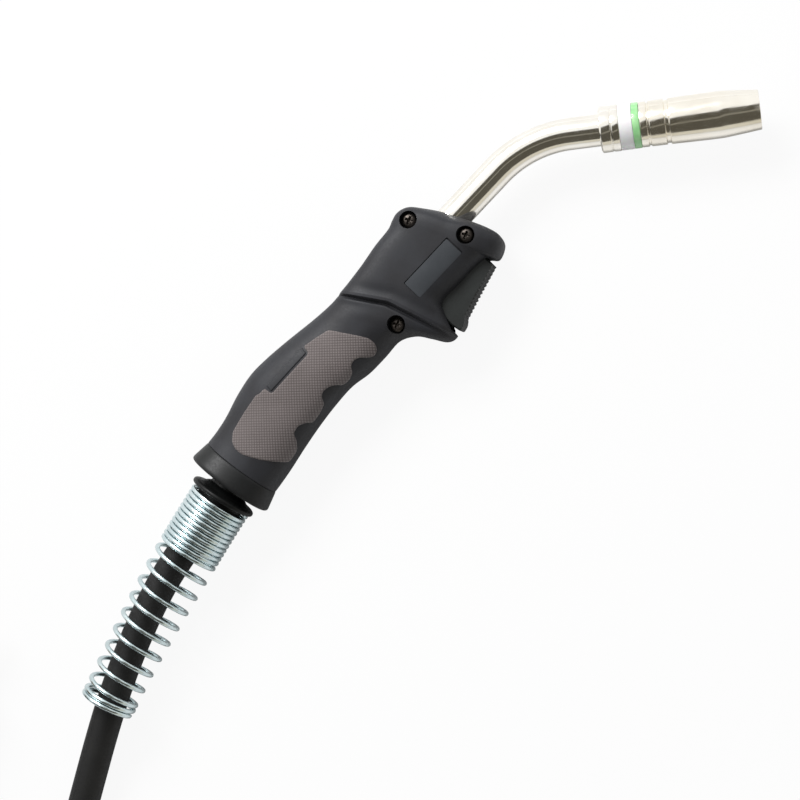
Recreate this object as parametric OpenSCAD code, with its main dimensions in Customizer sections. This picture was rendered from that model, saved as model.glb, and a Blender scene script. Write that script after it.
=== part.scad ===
// MIG welding torch lying on its left side on a bench.
// +X runs along the neck axis where it leaves the handle, +Y from the trigger to the spine, +Z up.
// The origin is under the middle of the torch, without its lead, on the bench.
// Most modules draw in the torch's own frame: x and y from the point where the neck leaves the
// handle, and z from the handle's parting plane. in_frame() moves them to the part's frame.

/* [Neck] */
// Outside diameter of the swan neck tube
neck_od = 16; // [15:0.5:17]
// Wall of the swan neck tube
neck_wall = 1.2; // [1:0.1:1.6]
// Radius of the swan neck's bend
bend_radius = 60; // [50:1:70]
// Angle of the swan neck's bend
bend_angle = 40; // [35:1:45]
// Distance from the handle's front to where the neck's two straight axes cross
bend_cross = 51; // [46:1:56]
// Straight length of the neck between its bend and the front collar
neck_front = 14.7; // [12:0.1:20]
// Length of the neck tube inside the handle
neck_seat = 26; // [20:1:28]
// Outside diameter of the inner conductor tube
conductor_od = 10; // [9:0.5:11]
// Bore of the inner conductor tube
conductor_bore = 5; // [4.6:0.1:6]
// Outside diameter of the wire liner
liner_od = 4.4; // [4:0.1:4.5]
// Bore of the wire liner
liner_bore = 2; // [1.5:0.1:2.5]

/* [Front end] */
// Outside diameter of the collar, the insulator and the green ring
collar_od = 23; // [22:0.5:25]
// Length of the front collar
collar_l = 9.7; // [8:0.1:12]
// Length of the white insulator's visible ring
insulator_l = 6.6; // [5:0.1:8]
// Length of the green ring
green_l = 3.6; // [2.5:0.1:5]
// Length of the gas nozzle
nozzle_l = 58.8; // [56:0.2:62]
// Outside diameter at the nozzle's rear edge
nozzle_rear_od = 22.4; // [21.8:0.1:23]
// Largest outside diameter of the nozzle
nozzle_belly_od = 23.2; // [22.6:0.1:24]
// Outside diameter of the nozzle's mouth
nozzle_tip_od = 19.6; // [19:0.1:21]
// Bore of the nozzle's mouth
nozzle_mouth = 16; // [15:0.2:16.6]
// Diameter of the seat that the nozzle pushes onto
seat_od = 17.4; // [17:0.1:18]
// Length of the nozzle's seat
seat_l = 20; // [16:1:24]
// Diameter of the contact tip
tip_od = 8; // [7:0.5:9]
// Length of the contact tip outside its holder
tip_l = 22; // [20:1:26]
// Diameter of the wire bore in the contact tip
wire_bore = 1.2; // [0.9:0.1:2]
// Distance from the contact tip's end back to the nozzle's mouth
tip_recess = 4.6; // [3:0.1:6]

/* [Handle] */
// Half the width of the handle at the head and at the rear rim
half_width = 19.5; // [19:0.1:21]
// Step in the half width from the head down to the grip
brow_step = 2.4; // [1.5:0.1:2.8]
// Wall of the moulded shells
shell_wall = 2.6; // [2.2:0.1:3]
// Length of the rear sleeve
sleeve_l = 11; // [10:0.5:13]
// Height that a grip pad stands proud of the shell
pad_proud = 0.5; // [0.3:0.1:0.8]
// Depth that a grip pad is let into the shell
pad_depth = 0.9; // [0.6:0.1:1.2]
// Diameter of a screw's head
screw_head = 6; // [5:0.5:7]
// Diameter of the round recess that a screw's head lies in
recess_d = 9; // [8:0.5:10]
// Diameter of a screw's shank
screw_d = 3; // [2.5:0.1:3.2]

/* [Trigger] */
// Width of the trigger
trigger_w = 17; // [15:0.5:18]
// Gap on each side of the trigger
trigger_gap = 0.4; // [0.3:0.1:0.6]
// Angle that the trigger turns when it is pressed
press_angle = 7; // [5:0.5:7]
// Diameter of the trigger's pivot pin
pin_d = 3; // [2.5:0.1:3.5]
// Number of teeth on the trigger's front
teeth = 14; // [10:1:18]
// Depth of the trigger's teeth
tooth_depth = 0.9; // [0.5:0.1:1.2]

/* [Cable support] */
// Diameter of the knuckle ball
ball_d = 28; // [26:0.5:28.5]
// Running gap round the knuckle ball
ball_gap = 0.1; // [0.05:0.01:0.15]
// Angle that the cable support turns each way about the handle's rear axis
swivel = 12; // [6:1:12]
// Angle that the cable support rests at, off the handle's rear axis
rest_turn = 3; // [0:0.5:5]
// Diameter of the cable support's flange
flange_d = 35; // [33:0.5:36]
// Outside diameter of the relief spring's tight turns
spring_od = 32.5; // [31:0.5:34]
// Outside diameter of the relief spring at its far end
spring_end_od = 29; // [28:0.5:31]
// Diameter of the relief spring's wire
spring_wire = 2.4; // [2:0.1:2.6]
// Number of tight turns
tight_turns = 12; // [8:1:14]
// Number of open turns
open_turns = 9; // [7:1:11]
// Distance between two open turns
open_pitch = 9.2; // [8:0.1:10]
// Number of closed turns at the far end
end_turns = 2; // [1:1:3]
// Angle that the relief spring bends over its length
spring_bend = 7.5; // [0:0.5:10]

/* [Lead] */
// Diameter of the coaxial lead
lead_d = 16; // [15.6:0.1:16.2]
// Distance from the knuckle's centre to the coil's centre, away from the nozzle
coil_back = 390; // [380:1:420]
// Distance from the knuckle's centre to the coil's centre, towards the trigger
coil_side = 44; // [36:1:50]
// Number of turns side by side in the coil
coil_columns = 3; // [3:1:4]
// Number of layers of turns in the coil
coil_layers = 2; // [2:1:3]
// Radius of the coil's outermost turn
coil_r = 106; // [102:1:110]

/* [Plug] */
// Diameter of the plug's housing
plug_d = 48; // [46:0.5:50]
// Length of the plug's housing
plug_l = 62; // [56:1:70]
// Outside diameter of the plug's nut
nut_od = 47; // [45:0.5:47.5]
// Length of the plug's nut
nut_l = 24; // [20:1:28]
// Diameter of the plug's main pin
main_pin_d = 10; // [9:0.5:11]
// Length of the plug's main pin beyond the brass body
main_pin_l = 26; // [22:1:30]
// Diameter of a control pin
control_pin_d = 4; // [3:0.5:4.5]
// Distance from the main pin's axis to a control pin's axis
control_pin_r = 11.5; // [11:0.1:12.5]
// Travel of a sprung control pin
control_travel = 4; // [2:0.5:5]

/* [Hidden] */
$fn = 48;

fit = 0.03;              // radial gap of pieces that are pushed or screwed together
slide_fit = 0.05;        // radial gap of pieces that slide
sleeve_fit = 0.2;        // radial gap of the insulating sleeve round the bent conductor
seat = 0.1;              // gap at the end of a piece that stands on another
free = 0.3;              // least gap between pieces that move past each other
over = 1;                // how far a cutter runs past what it cuts

// ---- Places along the neck -------------------------------------------------------------
tangent = bend_radius * tan(bend_angle / 2);
front_axis = [cos(bend_angle), -sin(bend_angle)];
collar_at = [bend_cross, 0] + (tangent + neck_front) * front_axis;
conductor_end = 12;                               // from the collar's rear, along the front axis
insulator_at = collar_l;
green_at = insulator_at + insulator_l;
nozzle_at = green_at + green_l;
tip_end = nozzle_at + nozzle_l - tip_recess;
holder_end = tip_end - tip_l;
holder_od = 12;
diffuser_end = nozzle_at + 16;

// ---- The handle's shape ----------------------------------------------------------------
// One row for each rib of the loft: spine x, y, middle x, y, belly x, y, half width taken off
// the full one, and the power of the oval on the spine's and on the belly's side.
RIBS = [
    [-2.5, 3.5, -0.9, -0.5, 1, -4.5, 14.5, 2.4, 2.4],
    [-6, 9, -2, -1, 3.8, -11, 8.5, 2.6, 2.6],
    [-9.5, 14, -3.5, -1.5, 6.2, -17.5, 4, 3, 3],
    [-13, 18.5, -5.5, -2, 7.2, -23, 1.3, 3.4, 3],
    [-16.5, 20.5, -8, -3, 5.2, -28.5, 0.3, 4, 3],
    [-20.5, 21, -11, -3.5, -1.5, -31.3, 0, 4.4, 3],
    [-24.5, 19.9, -14, -3.5, -5.3, -28, 0, 4.6, 3],
    [-29, 18.4, -18, -3.5, -12, -26.8, 0, 4.6, 3],
    [-39, 17.6, -28, -4, -24, -26.8, 0, 4.6, 3],
    [-50.5, 15.9, -40, -5, -35.5, -27, 0, 4.4, 2.8],
    [-60, 15, -47, -6.5, -39.5, -34, 0, 4.2, 2.5],
    [-66.5, 14.6, -52, -7.5, -42, -41.3, 0, 4, 2.3],
    [-70.5, 14.5, -56, -8, -45.5, -42.8, 0, 3.4, 2.2],
    [-74, 14.6, -60, -8, -49.5, -40.6, 0, 2.8, 2.2],
    [-77.5, 14.8, -65, -7, -53.5, -34, 0, 2.6, 2.2],
    [-81, 15.1, -70.5, -6, -58, -27.3, 0.3, 2.6, 2.4],
    [-85.5, 15.6, -77, -5, -65.5, -22.9, 0.5, 2.5, 2.5],
    [-91, 16.3, -84.5, -4, -76, -23.1, 0.4, 2.5, 2.5],
    [-98.5, 17.4, -94, -3, -87.5, -22.9, 0, 2.5, 2.5],
    [-107.5, 18.6, -104, -2, -99, -21, -0.6, 2.5, 2.5],
    [-118, 19.7, -115, -1.3, -111.5, -21.4, -0.8, 2.5, 2.5],
    [-129, 20, -127, -1.6, -124, -22.7, -0.7, 2.5, 2.5],
    [-141, 18, -139.5, -3.5, -137.5, -24.9, -0.2, 2.4, 2.4],
    [-153, 14.6, -151.5, -6.3, -149.5, -27.2, 0.2, 2.4, 2.4],
    [-161.5, 13, -159.8, -7.7, -157.5, -28.5, 0, 2.3, 2.3],
    [-169, 12.3, -166.4, -8.5, -163.6, -29.3, -0.5, 2.2, 2.2]
];
BROW = 11.6;             // the rib, counted from 0, where the head steps down to the grip
BROW_SPAN = 0.5;         // how many ribs the step takes
CAVITY_FRONT = 4;        // the rib where the hollow inside the shells starts
CAVITY_FLOOR = -26.8;    // the belly's line over the trigger; the beak below it is solid
rear_tilt = 7.5;         // the rear axis turns this far from the neck's axis
groove = RIBS[len(RIBS) - 1];
groove_mid = [groove[0] + groove[4], groove[1] + groove[5]] / 2;
rear_axis = [-cos(rear_tilt), -sin(rear_tilt)];
sleeve_flare = 2.3;      // the sleeve's rim stands this much further out than its front
lip_l = 3;               // the shells' lip inside the sleeve
lip_inset = 1.5;
ball_ahead = 1;          // the knuckle's centre is this far ahead of the sleeve
knuckle = groove_mid - ball_ahead * rear_axis;
ball_r = ball_d / 2;

function mix(a, b, t) = a + (b - a) * t;
function blend(t) = let(c = min(1, max(0, t))) c * c * (3 - 2 * c);
// A smooth curve through the rows p1 and p2, with p0 before them and p3 after.
function through(p0, p1, p2, p3, t) =
    0.5 * (2 * p1 + (p2 - p0) * t + (2 * p0 - 5 * p1 + 4 * p2 - p3) * t * t
        + (3 * p1 - p0 - 3 * p2 + p3) * t * t * t);
function row(i) = RIBS[min(len(RIBS) - 1, max(0, i))];
function rib(u) = let(i = min(len(RIBS) - 2, floor(u)))
    through(row(i - 1), row(i), row(i + 1), row(i + 2), u - i);
function power(v, e) = sign(v) * pow(abs(v), 2 / e);
function half_at(u) = half_width - rib(u)[6] - brow_step * blend((u - BROW) / BROW_SPAN + 0.5);
function toward(from, to, d) = from + (to - from) * d / norm(to - from);
function lifted(from, to, y) = from[1] >= y ? from : mix(from, to, (y - from[1]) / (to[1] - from[1]));
// The points of one rib, from the spine over the side to the belly, taken in by inset.
// A floor above the belly's own lifts that end of the rib to it.
function ribs_points(u, inset, floor_y, n) = let(
    r = rib(u), m = [r[2], r[3]], w = half_at(u) - inset,
    s = toward([r[0], r[1]], m, inset),
    b = lifted(toward([r[4], r[5]], m, inset), m, floor_y)
) [for (k = [0:n]) let(a = 180 * k / n, c = cos(a), h = sin(a))
    let(p = c >= 0 ? mix(m, s, power(c, r[7])) : mix(m, b, power(-c, r[8])),
        z = w * power(h, c >= 0 ? r[7] : r[8]))
    [p[0], p[1], k == 0 || k == n ? 0 : z]];

// One half of a lofted body, closed on the parting plane, through the given rings of points.
module half_loft(rings) {
    n = len(rings[0]);
    m = len(rings);
    points = [for (r = rings) for (p = r) p];
    side = [for (i = [0:m - 2]) for (k = [0:n - 2]) each [
        [i * n + k, i * n + k + 1, (i + 1) * n + k],
        [i * n + k + 1, (i + 1) * n + k + 1, (i + 1) * n + k]]];
    plane = [for (i = [0:m - 2]) each [
        [i * n, (i + 1) * n, i * n + n - 1],
        [(i + 1) * n, (i + 1) * n + n - 1, i * n + n - 1]]];
    front = [for (k = [1:n - 2]) [0, k + 1, k]];
    back = [for (k = [1:n - 2]) [(m - 1) * n, (m - 1) * n + k, (m - 1) * n + k + 1]];
    polyhedron(points, concat(side, plane, front, back), convexity = 6);
}

FINE = [0.5, 12];        // ribs per ring and points per ring of the surfaces that are seen
COARSE = [1, 8];         // the same for the surfaces inside
LAST = len(RIBS) - 1;
PAD_FIRST = 13;          // the rib just ahead of the grip pads
function ring_list(first, step) = concat(
    [for (u = [first:step:BROW - BROW_SPAN - 0.05]) u],
    first < BROW ? [BROW - BROW_SPAN / 2, BROW - BROW_SPAN / 6, BROW + BROW_SPAN / 6, BROW + BROW_SPAN / 2] : [],
    [for (u = [max(first, ceil(BROW + BROW_SPAN / 2 + 0.1)):step:LAST]) u]);
function shifted(ring, d) = [for (p = ring) [p[0] + rear_axis[0] * d, p[1] + rear_axis[1] * d, p[2]]];
// The rear sleeve's outside at a distance behind the groove.
function sleeve_ring(d, inset) = let(
    r = ribs_points(LAST, inset, -99, FINE[1]), g = 1 + sleeve_flare / 21 * d / sleeve_l)
    [for (p = shifted(r, d)) let(c = groove_mid + rear_axis * d)
        [c[0] + (p[0] - c[0]) * g, c[1] + (p[1] - c[1]) * g,
            p[2] + (half_width - half_at(LAST)) * min(1, d / (sleeve_l - 2)) * sign(p[2])]];

// ---- Frame -----------------------------------------------------------------------------
tip_point = collar_at + (nozzle_at + nozzle_l) * front_axis;
spring_start = 20.4;     // from the knuckle's centre to the relief spring's first turn
tight_pitch = spring_wire + 0.2;
tight_l = tight_turns * tight_pitch;
open_l = open_turns * open_pitch;
end_l = end_turns * tight_pitch;
spring_l = tight_l + open_l + end_l;
support_turn = 180 + rear_tilt + rest_turn;
function spring_turn(s) = support_turn + spring_bend * s / spring_l;
function spring_axis(s) = spring_bend == 0
    ? knuckle + (spring_start + s) * [cos(support_turn), sin(support_turn)]
    : let(r = spring_l / (spring_bend * PI / 180))
        knuckle + spring_start * [cos(support_turn), sin(support_turn)]
        + r * [sin(spring_turn(s)) - sin(support_turn), cos(support_turn) - cos(spring_turn(s))];
spring_end = spring_axis(spring_l);
spine_top = 21;
frame_x = (tip_point[0] + nozzle_tip_od / 2 * sin(bend_angle)
    + spring_end[0] - spring_end_od / 2 * abs(sin(spring_turn(spring_l)))) / 2;
frame_y = (tip_point[1] - nozzle_tip_od / 2 * cos(bend_angle) + spine_top) / 2;
mid_z = half_width;
knuckle_row = [knuckle[0] - frame_x, knuckle[1] - frame_y];

module in_frame() {
    translate([-frame_x, -frame_y, mid_z]) children();
}
// Turns a child drawn along +Z from the collar's rear to the front axis.
module on_front() {
    translate([collar_at[0], collar_at[1], 0]) rotate([0, 0, -bend_angle]) rotate([0, 90, 0]) children();
}
// Turns a child drawn along +Z from the knuckle's centre to the handle's rear axis.
module on_rear() {
    translate([knuckle[0], knuckle[1], 0]) rotate([0, 0, 180 + rear_tilt]) rotate([0, 90, 0]) children();
}
// The same for the cable support, which rests turned a little from the rear axis.
module on_support() {
    translate([knuckle[0], knuckle[1], 0]) rotate([0, 0, support_turn]) rotate([0, 90, 0]) children();
}
// Keeps the half of exact children above the parting plane.
module upper_half() {
    intersection() {
        children();
        translate([-250, -100, 0]) cube([300, 200, 60]);
    }
}

// ---- Handle ----------------------------------------------------------------------------
screw_spots = [[-18, 13], [-4, -13.1], [-59.5, -18.2]];
recess_floor = [10.5, 12.5, 8.5];            // height of each recess's floor over the parting plane
block_at = [-12, -44];                       // the neck seat block, front and rear
block_od = 19.6;
pivot = [-9.5, -23.5];
slot_x = [-43.5, -4.9];
slot_top = -17.3;
switch_x = [-34, -14];
switch_y = [-19.8, -10.3];
switch_w = 6.4;
spring_x = -37.5;                            // the trigger spring's axis
plate_x = [-42, -11];                        // the flat rating plate, left bare
plate_y = [-18, -7.4];
plate_depth = 0.4;

// One half of the handle's body, taken in by inset, from the rib first.
module outer_half(inset = 0, grain = FINE, first = 0) {
    half_loft([for (u = ring_list(first, grain[0])) ribs_points(u, inset, -99, grain[1])]);
}
module cavity_half() {
    half_loft(concat(
        [for (u = ring_list(CAVITY_FRONT, COARSE[0]))
            ribs_points(u, shell_wall, CAVITY_FLOOR + shell_wall, COARSE[1])],
        [shifted(ribs_points(LAST, shell_wall, -99, COARSE[1]), lip_l + over)]));
}
module lip_half() {
    half_loft([
        shifted(ribs_points(LAST, lip_inset, -99, COARSE[1]), -2),
        shifted(ribs_points(LAST, lip_inset, -99, COARSE[1]), lip_l)]);
}
// The outline of a grip pad, clockwise from its front corner, grown by g.
PAD = [
    [-84.7, 4.7], [-80.5, -2], [-76.7, -7.9], [-73.8, -13], [-73.6, -17.2], [-75.6, -19.8], [-79, -20.6],
    [-81.8, -18.6], [-84, -16.2], [-87, -15.1], [-90, -15.9], [-92, -18.6], [-96, -19.6], [-100.1, -19.1],
    [-102.4, -16.6], [-105.5, -14.9], [-109, -14.6], [-111.4, -16], [-113, -18.8], [-118, -20.2],
    [-124.2, -20.9], [-126.2, -18.8], [-130, -17.2], [-134, -18], [-136.2, -21.6], [-140, -24.4],
    [-147, -25.6], [-151.5, -20.5], [-155.4, -15], [-159.6, -6.9], [-160, -2.5], [-158.6, 1.6],
    [-154.6, 4.9], [-144, 7.2], [-133.3, 8.7], [-131.6, 7.8], [-127.6, 7.8], [-127.2, 3.2],
    [-100, 3.6], [-99.4, 8.1], [-92, 6.6]
];
module pad_prism(g) {
    translate([0, 0, 4]) linear_extrude(40) offset(delta = g) polygon(PAD);
}
module screw_towers() {
    intersection() {
        for (i = [0:2])
            translate([screw_spots[i][0], screw_spots[i][1], 0]) {
                cylinder(d = screw_d + 3, h = recess_floor[i]);
                translate([0, 0, recess_floor[i] - 1.6]) cylinder(d = recess_d + 2.4, h = half_width);
            }
        outer_half(0.6, COARSE);
    }
}
module block_saddles() {
    difference() {
        upper_half() for (x = [-18, -40])
            translate([x, 0, 0]) rotate([0, 90, 0]) difference() {
                translate([0, 2, 0]) cylinder(r = 15.4, h = 2.4);
                translate([0, 0, -over]) cylinder(d = block_od + 2 * slide_fit, h = 2.4 + 2 * over);
            }
        // Room for the switch below the block
        translate([-50, -40, -over]) cube([50, 40 + switch_y[1] + seat, switch_w / 2 + seat + over]);
    }
}
module switch_shelves() {
    for (x = [switch_x[0] - 1.5, switch_x[1] - 0.5])
        translate([x, slot_top, switch_w / 2 + seat]) cube([2, -10.4 - slot_top, 13]);
    translate([spring_x - 3.4, slot_top, 0]) cube([6.4, 2, 15]);
}
module pin_boss() {
    translate([pivot[0], pivot[1], trigger_w / 2 + trigger_gap]) cylinder(d = pin_d + 2.6, h = 2.6);
}
module ball_cup() {
    upper_half() on_rear() difference() {
        translate([0, 0, -7.5]) cylinder(r = ball_r + 2.2, h = 6.3);
        sphere(r = ball_r + ball_gap);
        translate([0, 0, -10]) cylinder(r = lead_d / 2 + 3, h = 8);
    }
}
module half_shell() {
    difference() {
        union() {
            difference() {
                union() {
                    outer_half();
                    lip_half();
                }
                cavity_half();
            }
            screw_towers();
            block_saddles();
            switch_shelves();
            pin_boss();
            ball_cup();
        }
        // The neck's hole in the front wall
        translate([-15, 0, 0]) rotate([0, 90, 0]) cylinder(d = neck_od + 2 * fit, h = 30);
        // The trigger's slot
        translate([slot_x[0], -60, -over])
            cube([slot_x[1] - slot_x[0], 60 + slot_top, trigger_w / 2 + trigger_gap + over]);
        // The pivot pin's blind hole
        translate([pivot[0], pivot[1], 0]) cylinder(d = pin_d + 2 * fit, h = trigger_w / 2 + trigger_gap + 2.2);
        // The grip pad's recess
        difference() {
            pad_prism(0.15);
            outer_half(pad_depth, COARSE, PAD_FIRST);
        }
        // The rating plate's recess
        translate([plate_x[0], plate_y[0], half_width - plate_depth])
            cube([plate_x[1] - plate_x[0], plate_y[1] - plate_y[0], 3]);
        for (s = screw_spots) translate([s[0], s[1], -over]) cylinder(d = screw_d + 2 * fit, h = 40);
        for (i = [0:2])
            translate([screw_spots[i][0], screw_spots[i][1], recess_floor[i]]) cylinder(d = recess_d, h = 20);
    }
}
module housing_right_shell() {
    color("#34363a") in_frame() half_shell();
}
module housing_left_shell() {
    color("#34363a") in_frame() mirror([0, 0, 1]) half_shell();
}
module grip_pad() {
    intersection() {
        difference() {
            outer_half(-pad_proud, FINE, PAD_FIRST);
            outer_half(pad_depth - 0.05, COARSE, PAD_FIRST);
        }
        pad_prism(0);
    }
}
module grip_pad_right() {
    color("#7a706e") in_frame() grip_pad();
}
module grip_pad_left() {
    color("#7a706e") in_frame() mirror([0, 0, 1]) grip_pad();
}
module screw(i) {
    translate([screw_spots[i][0], screw_spots[i][1], 0]) difference() {
        union() {
            translate([0, 0, -recess_floor[i] + 0.5]) cylinder(d = screw_d, h = 2 * recess_floor[i] - 0.5);
            translate([0, 0, recess_floor[i] + fit]) intersection() {
                cylinder(d = screw_head, h = 2.2);
                translate([0, 0, -2.6]) sphere(r = 4.9);
            }
        }
        for (a = [0, 90]) rotate([0, 0, a + 20])
            translate([-1.7, -0.4, recess_floor[i] + 1.1]) cube([3.4, 0.8, 2]);
    }
}
module housing_screws() {
    color("#2a2826") in_frame() for (i = [0:2]) screw(i);
}
module sleeve_half(inset) {
    half_loft([for (d = [0, 1, sleeve_l - 5, sleeve_l - 2, sleeve_l - 0.6, sleeve_l])
        sleeve_ring(d, inset + (d > sleeve_l - 0.5 ? 0.8 : d < 0.5 ? 0.4 : 0))]);
}
module rear_sleeve() {
    color("#2b2c2e") in_frame() difference() {
        union() {
            sleeve_half(0);
            mirror([0, 0, 1]) sleeve_half(0);
        }
        // The shells' lip goes in at the front
        for (m = [0, 1]) mirror([0, 0, m]) half_loft([
            shifted(ribs_points(LAST, lip_inset - seat, -99, COARSE[1]), -1),
            shifted(ribs_points(LAST, lip_inset - seat, -99, COARSE[1]), lip_l + seat)]);
        on_rear() {
            sphere(r = ball_r + ball_gap);
            translate([0, 0, 5.8]) cylinder(r1 = mouth_r, r2 = mouth_r + 1.5, h = sleeve_l + ball_ahead - 5.8 + over);
        }
    }
}
support_neck_r = lead_d / 2 + 1.6;
mouth_r = support_neck_r / cos(swivel) + 7 * tan(swivel) + free;

// ---- Neck ------------------------------------------------------------------------------
// A tube along the neck, from start inside the handle to stop on the front axis. The bent length
// is thicker by a hair each way, so that the straight lengths end inside it.
module neck_pipe(outer, inner, start, stop) {
    hair = 0.05;
    lap = 0.5;
    translate([start, 0, 0]) rotate([0, 90, 0]) ring(inner, outer, bend_cross - tangent - start + lap);
    translate([bend_cross - tangent, -bend_radius, 0])
        rotate([0, 0, 90 - bend_angle]) rotate_extrude(angle = bend_angle)
            translate([bend_radius, 0]) difference() {
                circle(r = outer + hair);
                circle(r = inner - hair);
            }
    translate([bend_cross + tangent * cos(bend_angle), -tangent * sin(bend_angle), 0])
        rotate([0, 0, -bend_angle]) rotate([0, 90, 0])
            translate([0, 0, -lap]) ring(inner, outer, neck_front + stop + lap);
}
neck_r = neck_od / 2;
neck_bore_r = neck_r - neck_wall;
conductor_r = conductor_od / 2;
tube_end = 6;                                 // the neck tube ends this far inside the collar
module neck_tube() {
    color("#d8d2c8") in_frame() neck_pipe(neck_r, neck_bore_r, -neck_seat, tube_end);
}
module neck_insulation() {
    color("#e8e4da") in_frame()
        neck_pipe(neck_bore_r - sleeve_fit, conductor_r + sleeve_fit, -neck_seat, tube_end);
}
module neck_conductor() {
    color("#b98a4a") in_frame() neck_pipe(conductor_r, conductor_bore / 2, -neck_seat - 8, conductor_end);
}
module wire_liner() {
    color("#8d8f92") in_frame() neck_pipe(liner_od / 2, liner_bore / 2, block_at[1] - 12, conductor_end + 2);
}
module neck_seat_block() {
    color("#b5893f") in_frame() translate([block_at[1], 0, 0]) rotate([0, 90, 0]) difference() {
        union() {
            cylinder(d = block_od, h = block_at[0] - block_at[1]);
            translate([0, 0, -14]) cylinder(d = 11, h = 15);
        }
        translate([0, 0, -neck_seat - block_at[1]]) cylinder(r = neck_r + fit, h = 40);
        translate([0, 0, -neck_seat - 8 - block_at[1]]) cylinder(r = conductor_r + fit, h = 40);
        translate([0, 0, -20]) cylinder(d = liner_od + 0.8, h = 60);
    }
}
hose_start = -69.8;                           // where the lead starts behind the ferrule
module cable_ferrule() {
    color("#c79a4e") in_frame() translate([hose_start - 14, 0, 0]) rotate([0, 90, 0]) difference() {
        union() {
            cylinder(r = lead_d / 2 + 1.2, h = 14 + 12);
            translate([0, 0, 26]) cylinder(r = lead_d / 2 - 0.5, h = block_at[1] - hose_start - 14 - 12 - seat + 14);
        }
        translate([0, 0, -over]) cylinder(r = lead_d / 2 + 0.2, h = 14 + over);
        translate([0, 0, 13]) cylinder(d = 11 + 2 * fit, h = 60);
    }
}
hose_bend = 400;                              // the lead's gentle bend inside the grip
hose_bend_end = [hose_start - hose_bend * sin(rear_tilt), -hose_bend * (1 - cos(rear_tilt))];
hose_gap = 3;                                 // between the lead's two lengths, at the ball's centre
hose_straight = norm(knuckle - hose_bend_end) - hose_gap / 2;
hose_angle = atan2(knuckle[1] - hose_bend_end[1], knuckle[0] - hose_bend_end[0]);
module lead_in_handle() {
    color("#2a2a2b") in_frame() {
        translate([hose_start, -hose_bend, 0])
            rotate([0, 0, 90]) rotate_extrude(angle = rear_tilt) translate([hose_bend, 0]) circle(d = lead_d);
        translate([hose_bend_end[0], hose_bend_end[1], 0]) rotate([0, 0, hose_angle]) rotate([0, 90, 0])
            translate([0, 0, -0.5]) cylinder(d = lead_d - 0.1, h = hose_straight + 0.5);
    }
}

// ---- Front end -------------------------------------------------------------------------
module front_collar() {
    color("#cfc9bf") in_frame() on_front() difference() {
        rotate_extrude() polygon([
            [0, 0], [collar_od / 2 - 1, 0], [collar_od / 2, 0.6], [collar_od / 2, 5.4],
            [collar_od / 2 - 0.3, 5.7], [collar_od / 2, 6], [collar_od / 2, collar_l], [0, collar_l]]);
        translate([0, 0, -over]) cylinder(r = neck_r + fit, h = tube_end + 0.2 + over);
        translate([0, 0, tube_end]) cylinder(r = conductor_r + 1.2, h = collar_l);
    }
}
module nozzle_insulator() {
    color("#eeeeef") in_frame() on_front() difference() {
        union() {
            translate([0, 0, insulator_at]) rotate_extrude() polygon([
                [0, 0], [collar_od / 2 - 0.3, 0], [collar_od / 2, 0.3], [collar_od / 2, insulator_l - 0.3],
                [collar_od / 2 - 0.3, insulator_l], [0, insulator_l]]);
            translate([0, 0, green_at - 0.5]) cylinder(d = seat_od, h = green_l + 0.5 + seat_l);
            translate([0, 0, tube_end + 0.3]) cylinder(r = conductor_r + 1.1, h = 5);
        }
        translate([0, 0, -over]) cylinder(r = conductor_r + fit, h = conductor_end + 0.1 + over);
        cylinder(d = holder_od + 2 * fit, h = green_at + 1);
        translate([0, 0, green_at]) cylinder(d = 14 + 2 * fit, h = 60);
        // The groove of the nozzle's retaining spring
        translate([0, 0, spring_groove]) ring(seat_od / 2 - 1, seat_od / 2 + 1, 3);
    }
}
spring_groove = nozzle_at + 9;
module ring(inner, outer, h) {
    difference() {
        cylinder(r = outer, h = h);
        translate([0, 0, -over]) cylinder(r = inner, h = h + 2 * over);
    }
}
module green_ring() {
    color("#7fc58a") in_frame() on_front() translate([0, 0, green_at]) difference() {
        rotate_extrude() polygon([
            [0, 0], [collar_od / 2 - 0.2, 0], [collar_od / 2, 0.3], [collar_od / 2, green_l - 0.3],
            [collar_od / 2 - 0.2, green_l], [0, green_l]]);
        translate([0, 0, -over]) cylinder(r = seat_od / 2 + fit, h = green_l + 2 * over);
    }
}
module nozzle_spring() {
    color("#b9bcc0") in_frame() on_front() for (i = [0:2])
        translate([0, 0, spring_groove + 0.5 + i]) rotate_extrude()
            translate([seat_od / 2 - 0.5, 0]) circle(d = 0.9, $fn = 16);
}
// The gas nozzle's outline: radius against length from its rear edge.
nozzle_outside = [
    [nozzle_rear_od / 2 - 0.5, 0], [nozzle_rear_od / 2, 0.5], [nozzle_rear_od / 2, 3.6],
    [nozzle_rear_od / 2 - 0.5, 4], [nozzle_rear_od / 2 - 0.5, 4.4], [nozzle_rear_od / 2, 4.8],
    [nozzle_rear_od / 2 + 0.1, 12.3], [nozzle_rear_od / 2 - 0.6, 12.9], [nozzle_rear_od / 2 - 0.6, 14],
    [nozzle_rear_od / 2 + 0.1, 14.6], [nozzle_belly_od / 2, 36], [nozzle_belly_od / 2, 40],
    [nozzle_belly_od / 2 - 0.3, 43], [nozzle_tip_od / 2 + 0.2, nozzle_l - 0.5],
    [nozzle_tip_od / 2 - 0.2, nozzle_l]
];
nozzle_inside = [
    [nozzle_mouth / 2 + 0.3, nozzle_l], [nozzle_mouth / 2, nozzle_l - 0.4], [nozzle_mouth / 2, 44],
    [seat_od / 2 + slide_fit, seat_l + 14], [seat_od / 2 + slide_fit, 0.6], [seat_od / 2 + 0.5, 0]
];
module gas_nozzle() {
    color("#dcd6cc") in_frame() on_front() translate([0, 0, nozzle_at + fit])
        rotate_extrude($fn = 96) polygon(concat(nozzle_outside, nozzle_inside));
}
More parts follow.
